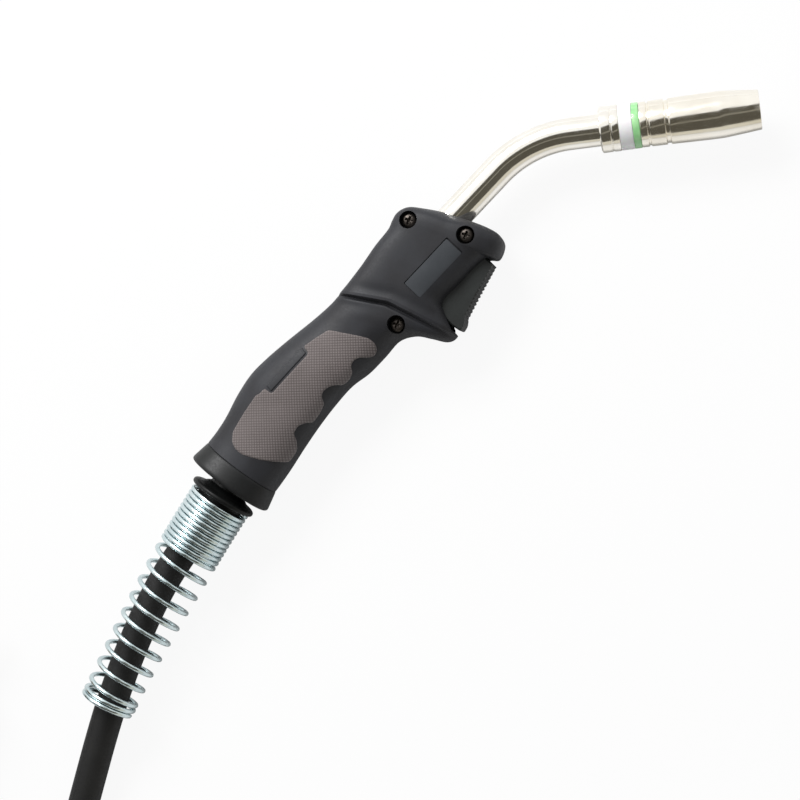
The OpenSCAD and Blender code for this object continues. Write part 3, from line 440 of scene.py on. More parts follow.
def curve_rows(rows: Array, u: Array) -> Array:
    """Rows read between the given ones on a Catmull-Rom curve, which passes through all of them.

    Args:
        rows: an array of n rows.
        u: places from 0 to n - 1.

    Returns:
        One row for each place.
    """
    n = len(rows)
    i = np.clip(np.floor(u).astype(int), 0, n - 2)
    t = (u - i)[:, None]
    p = [rows[np.clip(i + k, 0, n - 1)] for k in (-1, 0, 1, 2)]
    return 0.5 * (
        2 * p[1]
        + (p[2] - p[0]) * t
        + (2 * p[0] - 5 * p[1] + 4 * p[2] - p[3]) * t**2
        + (3 * p[1] - p[0] - 3 * p[2] + p[3]) * t**3
    )


def rounded(points: Iterable, radius: float | Array, steps: int = 5, closed: bool = True) -> Array:
    """A polygon with its corners replaced by parabolas that start radius before each corner.

    Args:
        points: the corners in order.
        radius: how far from each corner its curve starts, cut to 0.45 of the sides.
        steps: points on each curve.
        closed: whether the last corner joins the first; if not, the ends stay sharp.

    Returns:
        The points of the rounded outline.
    """
    p = np.asarray(points, float)
    r = np.broadcast_to(np.asarray(radius, float), (len(p),)).copy()
    before, after = np.roll(p, 1, 0) - p, np.roll(p, -1, 0) - p
    lengths = [np.linalg.norm(v, axis=1) for v in (before, after)]
    r = np.minimum(r, 0.45 * np.minimum(*lengths))
    if not closed:
        r[[0, -1]] = 0
    t = np.linspace(0, 1, steps)[None, :, None]
    a = p + unit(before) * r[:, None]
    b = p + unit(after) * r[:, None]
    curve = (1 - t) ** 2 * a[:, None] + 2 * t * (1 - t) * p[:, None] + t**2 * b[:, None]
    flat = curve.reshape(-1, p.shape[1])
    keep = np.ones(len(flat), bool)
    keep[1:] = np.linalg.norm(np.diff(flat, axis=0), axis=1) > 1e-6
    return flat[keep]


def object_from(name: str, points: Array, faces: list, sharp_deg: float = 35.0) -> bpy.types.Object:
    """A shaded object from torch points and faces, turned so that its faces point outwards.

    Args:
        name: the object's name.
        points: the vertices in millimetres.
        faces: vertex numbers of each face.
        sharp_deg: edges that turn more than this are shaded sharp.

    Returns:
        The object, at the origin and linked to the scene.
    """
    mesh = bpy.data.meshes.new(name)
    mesh.from_pydata(LAYOUT.place(points).tolist(), [], faces)
    shape = bmesh.new()
    shape.from_mesh(mesh)
    bmesh.ops.recalc_face_normals(shape, faces=shape.faces)
    shape.to_mesh(mesh)
    shape.free()
    shade_smooth(mesh, sharp_deg)
    mesh.update()
    return linked(name, mesh)


def strip_faces(m: int, n: int, loop_u: bool, loop_v: bool) -> list:
    """The quads of a grid of m rows of n points, joined end to end where a loop is asked for."""
    i = np.arange(m if loop_u else m - 1)[:, None]
    j = np.arange(n if loop_v else n - 1)[None, :]
    a, b = i * n + j, i * n + (j + 1) % n
    c, d = ((i + 1) % m) * n + (j + 1) % n, ((i + 1) % m) * n + j
    return np.stack([a, b, c, d], -1).reshape(-1, 4).tolist()


def grid_object(
    name: str, grid: Array, loop_u: bool = False, sharp_deg: float = 35.0
) -> bpy.types.Object:
    """A closed surface from a grid of points whose rows are closed loops.

    Args:
        name: the object's name.
        grid: rows of points, as an array of m, n and 3.
        loop_u: the last row joins the first, as on a ring; if not, both get a face.
        sharp_deg: edges that turn more than this are shaded sharp.

    Returns:
        The object.
    """
    m, n = grid.shape[:2]
    faces = strip_faces(m, n, loop_u, True)
    if not loop_u:
        faces += [list(range(n))[::-1], list(range((m - 1) * n, m * n))]
    return object_from(name, grid.reshape(-1, 3), faces, sharp_deg)


def turned(profile: Array, origin: Array, axis: Array, sides: int = 96) -> Array:
    """The grid of a profile turned about an axis in the parting plane.

    Each row is a circle: its radius is the profile's first value, and its centre lies the second
    value along the axis.

    Args:
        profile: pairs of radius and length.
        origin: the axis's start, x and y.
        axis: its direction, x and y.
        sides: points on each circle.

    Returns:
        An array of rows, sides and 3.
    """
    a = np.linspace(0, 2 * np.pi, sides, endpoint=False)
    along, across = np.array([*axis, 0.0]), np.array([-axis[1], axis[0], 0.0])
    circle = np.cos(a)[:, None] * across + np.sin(a)[:, None] * UP
    r, s = profile[:, 0, None, None], profile[:, 1, None, None]
    return np.array([*origin, 0.0]) + s * along + r * circle


def swept(path: Array, radius: float, sides: int) -> Array:
    """The grid of a circle carried along a path that never points straight up.

    Args:
        path: the centreline's points.
        radius: the circle's radius.
        sides: points on the circle.

    Returns:
        An array of rows, sides and 3.
    """
    forward = unit(np.gradient(path, axis=0))
    side = unit(np.cross(forward, UP))
    top = np.cross(side, forward)
    a = np.linspace(0, 2 * np.pi, sides, endpoint=False)[None, :, None]
    return path[:, None] + radius * (np.cos(a) * side[:, None] + np.sin(a) * top[:, None])


def prism(name: str, outline: Array, low: float, high: float) -> bpy.types.Object:
    """A straight prism on an outline in the x, y plane."""
    n = len(outline)
    rows = [np.column_stack([outline, np.full(n, z)]) for z in (low, high)]
    return grid_object(name, np.array(rows))


def cut(piece: bpy.types.Object, tools: list[bpy.types.Object], operation: str = "DIFFERENCE") -> None:
    """Cuts tools out of a piece, or keeps what they share, and throws the tools away.

    Args:
        piece: the object that is changed.
        tools: closed objects.
        operation: the Boolean modifier's operation.
    """
    for tool in tools:
        step = piece.modifiers.new("cut", "BOOLEAN")
        step.operation, step.solver, step.object = operation, "EXACT", tool
    apply(piece)
    for tool in tools:
        bpy.data.objects.remove(tool)


def apply(piece: bpy.types.Object, sharp_deg: float = 32.0) -> None:
    """Makes a piece's modifiers part of its mesh, and shades it again."""
    shaped = piece.evaluated_get(bpy.context.evaluated_depsgraph_get())
    mesh = bpy.data.meshes.new_from_object(shaped)
    piece.modifiers.clear()
    piece.data = mesh
    shade_smooth(mesh, sharp_deg)


def mirrored(piece: bpy.types.Object, name: str) -> bpy.types.Object:
    """A copy of a piece, mirrored in the parting plane, with its faces turned back outwards."""
    mesh = piece.data.copy()
    mesh.name = name
    mesh.transform(Matrix.Translation((0, 0, LAYOUT.mid_z / 500)) @ Matrix.Diagonal((1, 1, -1, 1)))
    mesh.flip_normals()
    return linked(name, mesh)


def dress(
    piece: bpy.types.Object, finish: Finish, body: str, replaces: Iterable[str] = ()
) -> bpy.types.Object:
    """Gives a piece its finish, its body and the nodes that it stands for.

    Args:
        piece: the object.
        finish: its finish.
        body: the body that it rides on.
        replaces: nodes that it stands for.

    Returns:
        The piece.
    """
    piece.data.materials.clear()
    piece.data.materials.append(finish.material())
    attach(piece, body)
    if replaces:
        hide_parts(*replaces)
    LOG.info("%s: %d faces on %s", piece.name, len(piece.data.polygons), body)
    return piece


def inside_distance(points: Array, outline: Array) -> Array:
    """How far points in the plane lie inside a closed outline, negative outside it.

    The distance is the least one to the outline's sides, and a point is inside when a ray from it
    crosses them an odd number of times.

    Args:
        points: an array whose last axis is x, y.
        outline: the outline's corners.

    Returns:
        One distance for each point.
    """
    p = points.reshape(-1, 1, 2)
    a, b = outline[None], np.roll(outline, -1, 0)[None]
    side = b - a
    t = np.clip(((p - a) * side).sum(-1) / np.maximum((side**2).sum(-1), 1e-12), 0, 1)
    away = np.sqrt((((a + t[..., None] * side) - p) ** 2).sum(-1)).min(1)
    level = (a[..., 1] > p[..., 1]) != (b[..., 1] > p[..., 1])
    rise = np.where(np.abs(side[..., 1]) < 1e-12, 1e-12, side[..., 1])
    crossing = a[..., 0] + (p[..., 1] - a[..., 1]) * side[..., 0] / rise
    odd = (level & (p[..., 0] < crossing)).sum(1) % 2 == 1
    return np.where(odd, away, -away).reshape(points.shape[:-1])


# ---- Handle ----------------------------------------------------------------------------


@dataclass
class Handle:
    """The moulded handle: two shells, grip pads, a rear sleeve, screws and a bare plate.

    The brow is the step below the head: a fall of brow_step in the half width over brow_span ribs
    around the rib number brow. Each of brow_waves adds a height, at a place from the brow, over a
    spread, both in ribs. A screw spot is x, y and the floor of its well over the parting plane.
    The slot is two x, its top and its half width, and the plate is two x, two y and its recess.
    """

    half_width: float = 19.5
    brow_step: float = 2.4
    brow: float = 11.6
    brow_span: float = 0.5
    brow_waves: tuple = ((-0.5, -1.15, 0.5), (0.3, -0.36, 0.2), (-1.1, 0.3, 0.24))
    wall: float = 2.6
    floor: float = -26.8
    neck_hole: float = 8.12
    rear_tilt_deg: float = 7.5
    sleeve_length: float = 11.0
    sleeve_radius: float = 21.0
    sleeve_flare: float = 2.3
    well: float = 4.52
    well_mouth: float = 4.7
    tower: float = 5.8
    head_radius: float = 3.5
    head_top: float = 4.4
    screw_spots: tuple = ((-18, 13, 10.5), (-4, -13.1, 12.5), (-59.5, -18.2, 8.5))
    slot: tuple = (-43.5, -4.9, -17.3, 8.9)
    plate: tuple = (-42, -11, -18, -7.4, 1.0)
    ribs: Array = field(
        default_factory=lambda: np.array(
            [
                [-2.5, 3.5, -0.9, -0.5, 1, -4.5, 14.5, 2.4, 2.4],
                [-6, 9, -2, -1, 3.8, -11, 8.5, 2.6, 2.6],
                [-9.5, 14, -3.5, -1.5, 6.2, -17.5, 4, 3, 3],
                [-13, 18.5, -5.5, -2, 7.2, -23, 1.3, 3.4, 3],
                [-16.5, 20.5, -8, -3, 5.2, -28.5, 0.3, 4, 3],
                [-20.5, 21, -11, -3.5, -1.5, -31.3, 0, 4.4, 3],
                [-24.5, 19.9, -14, -3.5, -5.3, -28, 0, 4.6, 3],
                [-29, 18.4, -18, -3.5, -12, -26.8, 0, 4.6, 3],
                [-39, 17.6, -28, -4, -24, -26.8, 0, 4.6, 3],
                [-50.5, 15.9, -40, -5, -35.5, -27, 0, 4.4, 2.8],
                [-60, 15, -47, -6.5, -39.5, -34, 0, 4.2, 2.5],
                [-66.5, 14.6, -52, -7.5, -42, -41.3, 0, 4, 2.3],
                [-70.5, 14.5, -56, -8, -45.5, -42.8, 0, 3.4, 2.2],
                [-74, 14.6, -60, -8, -49.5, -40.6, 0, 2.8, 2.2],
                [-77.5, 14.8, -65, -7, -53.5, -34, 0, 2.6, 2.2],
                [-81, 15.1, -70.5, -6, -58, -27.3, 0.3, 2.6, 2.4],
                [-85.5, 15.6, -77, -5, -65.5, -22.9, 0.5, 2.5, 2.5],
                [-91, 16.3, -84.5, -4, -76, -23.1, 0.4, 2.5, 2.5],
                [-98.5, 17.4, -94, -3, -87.5, -22.9, 0, 2.5, 2.5],
                [-107.5, 18.6, -104, -2, -99, -21, -0.6, 2.5, 2.5],
                [-118, 19.7, -115, -1.3, -111.5, -21.4, -0.8, 2.5, 2.5],
                [-129, 20, -127, -1.6, -124, -22.7, -0.7, 2.5, 2.5],
                [-141, 18, -139.5, -3.5, -137.5, -24.9, -0.2, 2.4, 2.4],
                [-153, 14.6, -151.5, -6.3, -149.5, -27.2, 0.2, 2.4, 2.4],
                [-161.5, 13, -159.8, -7.7, -157.5, -28.5, 0, 2.3, 2.3],
                [-169, 12.3, -166.4, -8.5, -163.6, -29.3, -0.5, 2.2, 2.2],
            ]
        )
    )
    pad: Array = field(
        default_factory=lambda: np.array(
            [
                [-84.7, 4.7], [-80.5, -2], [-76.7, -7.9], [-73.8, -13], [-73.6, -17.2], [-75.6, -19.8],
                [-79, -20.6], [-81.8, -18.6], [-84, -16.2], [-87, -15.1], [-90, -15.9], [-92, -18.6],
                [-96, -19.6], [-100.1, -19.1], [-102.4, -16.6], [-105.5, -14.9], [-109, -14.6],
                [-111.4, -16], [-113, -18.8], [-118, -20.2], [-124.2, -20.9], [-126.2, -18.8],
                [-130, -17.2], [-134, -18], [-136.2, -21.6], [-140, -24.4], [-147, -25.6],
                [-151.5, -20.5], [-155.4, -15], [-159.6, -6.9], [-160, -2.5], [-158.6, 1.6],
                [-154.6, 4.9], [-144, 7.2], [-133.3, 8.7], [-131.6, 7.8], [-127.6, 7.8], [-127.2, 3.2],
                [-100, 3.6], [-99.4, 8.1], [-92, 6.6],
            ]
        )
    )  # fmt: skip
    strip: tuple = ((-126.6, 3.9), (-100.6, 4.3), (-100.2, 8.3), (-126.4, 8.0))

    @property
    def last(self) -> int:
        """The number of the rearmost rib."""
        return len(self.ribs) - 1

    @property
    def rear_axis(self) -> Array:
        """The direction of the handle's rear end."""
        a = np.radians(180 + self.rear_tilt_deg)
        return np.array([np.cos(a), np.sin(a)])

    @property
    def groove_centre(self) -> Array:
        """The middle of the joint between the shells and the sleeve."""
        return (self.ribs[-1, 0:2] + self.ribs[-1, 4:6]) / 2

    @property
    def knuckle(self) -> Array:
        """The centre of the cable support's ball, 1 mm ahead of the sleeve."""
        return self.groove_centre - self.rear_axis

    def rings(self, u: Array, inset: float = 0.0, floor: float = -99.0, count: int = 81) -> Array:
        """Half rings of the handle's body, from the spine over the right side to the belly.

        Each half of a ring is a superellipse between the middle line and the spine or the belly.
        Its points are read by direction: at direction a from the middle, the radius is
        (|cos a|^n + |sin a|^n) to the power -1/n, which keeps them evenly apart.

        Args:
            u: places along the ribs.
            inset: how far inside the body the ring lies.
            floor: the lowest y that the belly's end may have; below -90, there is none.
            count: points in each ring.

        Returns:
            An array of rings, points and 3.
        """
        r = curve_rows(self.ribs, u)
        middle = r[:, 2:4]
        spine = r[:, 0:2] + unit(middle - r[:, 0:2]) * inset
        belly = r[:, 4:6] + unit(middle - r[:, 4:6]) * inset
        low = np.minimum(belly[:, 1], floor - 1e-6) if floor > -90 else belly[:, 1] - 1
        share = np.clip((floor - belly[:, 1]) / np.maximum(middle[:, 1] - low, 1e-9), 0, 1)
        belly = belly + (middle - belly) * share[:, None]
        step = self.brow_step * smooth((u - self.brow) / self.brow_span + 0.5)
        width = self.half_width - r[:, 6] - step - inset
        for height, place, spread in self.brow_waves:
            width += height * np.exp(-(((u - self.brow - place) / spread) ** 2))
        width = np.minimum(width, self.half_width - r[:, 6] - inset)
        a = np.linspace(0, np.pi, count)[None, :]
        c, s = np.abs(np.cos(a)), np.sin(a)
        n = np.where(a <= np.pi / 2, r[:, 7:8], r[:, 8:9])
        reach = (c**n + s**n) ** (-1 / n)
        end = np.where((a <= np.pi / 2)[..., None], spine[:, None], belly[:, None])
        plane = middle[:, None] + (end - middle[:, None]) * (c * reach)[..., None]
        z = width[:, None] * s * reach
        z[:, [0, -1]] = 0
        return np.concatenate([plane, z[..., None]], -1)

    def places(self, step: float, first: float = 0.0) -> Array:
        """Places along the ribs, close together at the brow's step."""
        edge = self.brow_span * 1.1
        fine = np.linspace(self.brow - edge, self.brow + edge, 25)
        even = np.linspace(first, self.last, int((self.last - first) / step) + 1)
        if first > self.brow:
            return even
        ahead, behind = even < self.brow - edge - 0.02, even > self.brow + edge + 0.02
        return np.concatenate([even[ahead], fine, even[behind]])

    def half_body(self, name: str, grid: Array) -> bpy.types.Object:
        """A half body closed on the parting plane, from its half rings."""
        m, n = grid.shape[:2]
        i = np.arange(m - 1)
        plane = np.stack([i * n, (i + 1) * n, (i + 1) * n + n - 1, i * n + n - 1], -1).tolist()
        ends = [list(range(n)), list(range((m - 1) * n, m * n))]
        return object_from(name, grid.reshape(-1, 3), strip_faces(m, n, False, False) + plane + ends, 40)

    def shifted(self, ring: Array, distance: float) -> Array:
        """A ring moved along the rear axis."""
        return ring + np.array([*self.rear_axis, 0]) * distance

    def build_shells(self) -> None:
        """The two shells: the body less its hollow, the trigger's slot, the neck's hole, the
        screws' wells and the plate's recess, with a fine groove along the parting plane."""
        grid = self.rings(self.places(0.1), count=97)
        groove = 0.22
        for end, inner in ((0, 2), (-1, -3)):
            grid[:, end] += unit(grid[:, inner] - grid[:, end]) * groove
            grid[:, end, 2] = 0
        shell = self.half_body("shell_right", grid)
        hollow = np.concatenate(
            [
                self.rings(self.places(0.5, 4.0), self.wall, self.floor + self.wall, 33),
                self.shifted(self.rings(np.array([float(self.last)]), self.wall, count=33), 4),
            ]
        )
        hollow[:, [0, -1], 2] = -0.5
        tools = [self.half_body("hollow", hollow)]
        x0, x1, top, half = self.slot
        box = rounded([(x0, -60), (x1, -60), (x1, top), (x0, top)], 1.2)
        tools.append(prism("slot", box, -1, half))
        neck = np.array([[self.neck_hole, -16.0], [self.neck_hole, 14.0]])
        tools.append(grid_object("neck_hole", turned(neck, np.zeros(2), np.array([1.0, 0.0]))))
        for x, y, floor in self.screw_spots:
            well = np.array([[self.well, floor], [self.well, 15.5], [self.well_mouth, 30]])
            tools.append(grid_object("well", self.upright(well, x, y)))
        px0, px1, py0, py1, depth = self.plate
        plate = rounded([(px0, py0), (px1, py0), (px1, py1), (px0, py1)], 0.8)
        tools.append(self.skin("plate_recess", plate, depth))
        cut(shell, tools)
        left = mirrored(shell, "shell_left")
        dress(shell, Finish.SHELL, "handle", ["housing_right_shell"])
        dress(left, Finish.SHELL, "handle", ["housing_left_shell"])
        centre = plate.mean(0)
        inner, outer = 4.5, self.tower
        for k, (x, y, floor) in enumerate(self.screw_spots):
            base = [(0.05, floor - 2), (outer, floor - 2), (outer, 30)]
            wall = np.array([*base, (inner, 30), (inner, floor), (0.05, floor)])
            tower = grid_object(f"tower_right_{k}", self.upright(wall, x, y))
            cut(tower, [self.half_body("inner", self.rings(self.places(0.5), 0.7, count=97))], "INTERSECT")
            dress(mirrored(tower, f"tower_left_{k}"), Finish.SHELL, "handle")
            dress(tower, Finish.SHELL, "handle")
        inlay = self.skin("plate_right", plate + unit(centre - plate) * 0.5 + (-0.3, -0.22), 1.3, 0.25)
        dress(mirrored(inlay, "plate_left"), Finish.PLATE, "handle")
        dress(inlay, Finish.PLATE, "handle")

    def skin(self, name: str, outline: Array, low: float, high: float | None = None) -> bpy.types.Object:
        """What an upright prism shares with the space between two offsets of the body.

        Args:
            name: the object's name.
            outline: the prism's outline.
            low: how far inside the body the piece starts.
            high: how far inside the body it ends; without it, the piece runs on past the body.

        Returns:
            The piece.
        """
        u = np.linspace(4, 12, 81)
        piece = prism(name, outline, 5, 28)
        if high is not None:
            cut(piece, [self.half_body("above", self.rings(u, high, count=97))], "INTERSECT")
        cut(piece, [self.half_body("below", self.rings(u, low, count=97))])
        return piece

    @staticmethod
    def upright(profile: Array, x: float, y: float, sides: int = 48) -> Array:
        """The grid of a profile of radius and height turned about an upright axis."""
        a = np.linspace(0, 2 * np.pi, sides, endpoint=False)
        circle = np.stack([np.cos(a), np.sin(a), np.zeros_like(a)], -1)
        r, h = profile[:, 0, None, None], profile[:, 1, None, None]
        return np.array([x, y, 0.0]) + r * circle + h * UP

    def skin_patch(
        self,
        name: str,
        outline: Array,
        span: tuple[float, float],
        proud: float,
        sink: float,
        edge: float,
        studs: float = 0.0,
    ) -> bpy.types.Object:
        """A raised patch of the body's surface inside an outline.

        The body's points move along its normals by a height that climbs from sink below the
        surface to proud above it over the first edge millimetres inside the outline.

        Args:
            name: the object's name.
            outline: the patch's outline in the x, y plane.
            span: the ribs where the search for the patch starts and ends.
            proud: height above the surface.
            sink: depth of its rim below the surface.
            edge: width of the climb.
            studs: height of the studs on it, or 0 for none.

        Returns:
            The patch, closed by a wall below.
        """
        rows_per_rib, around, spine, belly = 29, 281, 38, -31
        u = np.linspace(*span, int((span[1] - span[0]) * rows_per_rib))
        grid = self.rings(u, count=around)[:, spine:belly]
        normal = unit(np.cross(np.gradient(grid, axis=0), np.gradient(grid, axis=1)))
        normal *= np.sign(normal[..., 2:3].sum())
        inside = inside_distance(grid[..., :2], outline)
        height = -sink + (proud + sink) * smooth((inside + edge * 0.35) / edge)
        if studs:
            height += studs * stud_pattern(LAYOUT.place(grid)) * smooth((inside - 0.6) / 0.5)
        moved = grid + normal * height[..., None]
        m, n = grid.shape[:2]
        faces = np.array(strip_faces(m, n, False, False))
        keep = (inside.reshape(-1)[faces] > -0.8).any(1)
        used, index = np.unique(faces[keep], return_inverse=True)
        patch = object_from(name, moved.reshape(-1, 3)[used], index.reshape(-1, 4).tolist(), 50)
        up = np.array([p.normal[2] for p in patch.data.polygons]).sum()
        if up < 0:
            patch.data.flip_normals()
        solid = patch.modifiers.new("wall", "SOLIDIFY")
        solid.thickness, solid.offset = 0.0009, -1
        apply(patch, 50)
        return patch

    def build_pads(self) -> None:
        """The soft grips, let into both shells, and the bare bar beside each."""
        outline = rounded(self.pad, 1.4, 4)
        right = self.skin_patch("grip_right", outline, (13.3, 24.6), 0.42, 0.35, 0.9, 0.14)
        dress(mirrored(right, "grip_left"), Finish.GRIP, "handle", ["grip_pad_left"])
        dress(right, Finish.GRIP, "handle", ["grip_pad_right"])
        bar = self.skin_patch("bar_right", rounded(self.strip, 0.8, 4), (17.5, 22), 0.45, 0.3, 0.6)
        dress(mirrored(bar, "bar_left"), Finish.SHELL, "handle")
        dress(bar, Finish.SHELL, "handle")

    def build_sleeve(self) -> None:
        """The rear sleeve: rings grow towards the rim, and turn in to the ball's mouth."""
        half = self.rings(np.array([float(self.last)]), count=61)[0]
        ring = np.concatenate([half, (half * (1, 1, -1))[-2:0:-1]])
        centre = np.array([*self.groove_centre, 0.0])
        back = np.array([*self.rear_axis, 0.0])
        full = self.half_width / ring[:, 2].max()

        def row(d: float, inset: float) -> Array:
            """The outside at a distance d behind the joint, taken in by inset."""
            grow = 1 + self.sleeve_flare / self.sleeve_radius * d / self.sleeve_length
            rel = (ring - centre) * (grow, grow, 1 + (full - 1) * min(1, d / (self.sleeve_length - 2)))
            size = np.linalg.norm(rel, axis=1, keepdims=True)
            return centre + rel * (1 - inset / size) + back * d

        angle = np.arctan2(ring[:, 2], (ring - centre) @ np.array([-back[1], back[0], 0]))
        across = np.array([-back[1], back[0], 0.0])

        def mouth(d: float, radius: float) -> Array:
            """A round row of the mouth."""
            spot = centre + back * d
            return spot + radius * (np.cos(angle)[:, None] * across + np.sin(angle)[:, None] * UP)

        end = self.sleeve_length
        front = ((0, 3.0), (0, 0.75), (0.12, 0.45), (0.45, 0.2), (0.9, 0.05), (1.6, 0))
        rim = ((end - 0.9, 0.1), (end - 0.4, 0.35), (end - 0.1, 0.75), (end, 1.2), (end, 2.6))
        seat = ((end, 13.2), (end - 0.4, 12.85), (6.5, 11.95), (5, 12.76), (3, 13.52), (1, 13.96))
        outside = [*front, *((d, 0) for d in np.linspace(2.5, end - 1.6, 9)), *rim]
        rows = [mouth(0.3, 14.05), *(row(*v) for v in outside), *(mouth(*v) for v in seat)]
        piece = grid_object("rear_sleeve_skin", np.array(rows), loop_u=True, sharp_deg=40)
        dress(piece, Finish.SLEEVE, "handle", ["rear_sleeve"])

    def build_screws(self) -> None:
        """Six cross-recess screws: a low dome, less a cross whose arms fall away to its centre.

        The dome falls with the third power of the radius, and its rim is a step lower. An arm is
        the product of two S-shaped steps, across it and at its ends.
        """
        rows, sides, turn, arm_half, arm_reach = 36, 96, 0.35, 0.62, 2.1
        r = np.linspace(self.head_radius, 0.02, rows)[:, None]
        a = np.linspace(0, 2 * np.pi, sides, endpoint=False)[None]
        x, y = np.abs(r * np.cos(a - turn)), np.abs(r * np.sin(a - turn))
        arm = np.maximum(
            smooth((arm_half - x) / 0.25) * smooth((arm_reach - y) / 0.4),
            smooth((arm_half - y) / 0.25) * smooth((arm_reach - x) / 0.4),
        )
        dome = self.head_top - 0.95 * (r / self.head_radius) ** 3
        z = np.where(r > 3.35, dome - 0.25, dome) - 2.4 * arm * (1.1 - 0.12 * r)
        top = np.stack([r * np.cos(a), r * np.sin(a), z + 0 * a], -1)
        foot = top[:1] * (1, 1, 0)
        grid = np.concatenate([foot, top])
        for k, (sx, sy, floor) in enumerate(self.screw_spots):
            right = grid_object(f"screw_right_{k}", grid + (sx, sy, floor + 0.03), sharp_deg=45)
            left = mirrored(right, f"screw_left_{k}")
            nodes = ["housing_screws"] if k == 0 else []
            dress(right, Finish.SCREW, "handle", nodes)
            dress(left, Finish.SCREW, "handle")

    def build(self) -> None:
        """Builds the whole handle."""
        self.build_shells()
        self.build_pads()
        self.build_sleeve()
        self.build_screws()


@dataclass
class Trigger:
    """The trigger: a moulded lever with a toothed front and a pocket for its spring."""

    half_width: float = 8.5
    front_top: tuple = (-5.5, -31.9)
    front_low: tuple = (-34.7, -40.0)
    teeth: int = 14
    tooth_depth: float = 0.55
    pocket_x: float = -37.0
    pocket: float = 3.8

    def side(self, inset: float, depth: float) -> Array:
        """The side outline with its teeth, taken in towards its middle.

        Args:
            inset: how far the outline is taken in.
            depth: the teeth's depth.

        Returns:
            The outline's points.
        """
        a, b = np.array(self.front_top), np.array(self.front_low)
        step = (b - a) / self.teeth
        outward = unit(np.array([-step[1], step[0]]))
        k = np.arange(self.teeth)[:, None, None]
        wave = np.array([[0.0, 0.0], [0.22, 1.0], [0.5, 1.0], [0.72, 0.0]])[None]
        front = a + step * (k + wave[..., :1]) - outward * depth * wave[..., 1:]
        rest = rounded(
            [b, (-35.8, -41.2), (-37.2, -42.1), (-39.9, -42.7), (-40.6, -42.0), (-41.3, -37.5), (-41.0, -30),
             (-39.8, -26), (-21, -21.6), (-12, -21.6), (-9, -20.4), (-6.4, -21.4), (-5.3, -24.5)],
            0.7, 4, closed=False,
        )  # fmt: skip
        points = np.concatenate([front.reshape(-1, 2), rest])
        middle = np.array([-23.5, -31.0])
        return points + unit(middle - points) * inset

    def build(self) -> None:
        """The lever, rounded over its side edges, less the spring's pocket.

        Each edge row has a place over the last millimetre of the half width, from 0.76 to 1, how
        far the outline is taken in there, and the share of the teeth's depth.
        """
        edges = ((1.0, 0.9, 0.35), (0.93, 0.45, 0.6), (0.86, 0.15, 0.85), (0.76, 0.0, 1.0))
        levels = [(self.half_width - 1.0 + (f - 0.76) / 0.24, i, d) for f, i, d in edges]
        levels += [(-z, i, d) for z, i, d in reversed(levels)]
        grid = []
        for z, inset, depth in levels:
            side = self.side(inset, self.tooth_depth * depth)
            grid.append(np.column_stack([side, np.full(len(side), z)]))
        lever = grid_object("trigger_lever", np.array(grid), sharp_deg=38)
        a = np.linspace(0, 2 * np.pi, 40, endpoint=False)
        ring = np.stack([self.pocket_x + self.pocket * np.cos(a), 0 * a, self.pocket * np.sin(a)], -1)
        tool = grid_object("pocket", np.array([ring + (0, -34, 0), ring + (0, -14, 0)]))
        cut(lever, [tool])
        dress(lever, Finish.TRIGGER, "trigger", ["trigger"])


# ---- Neck and front end ----------------------------------------------------------------


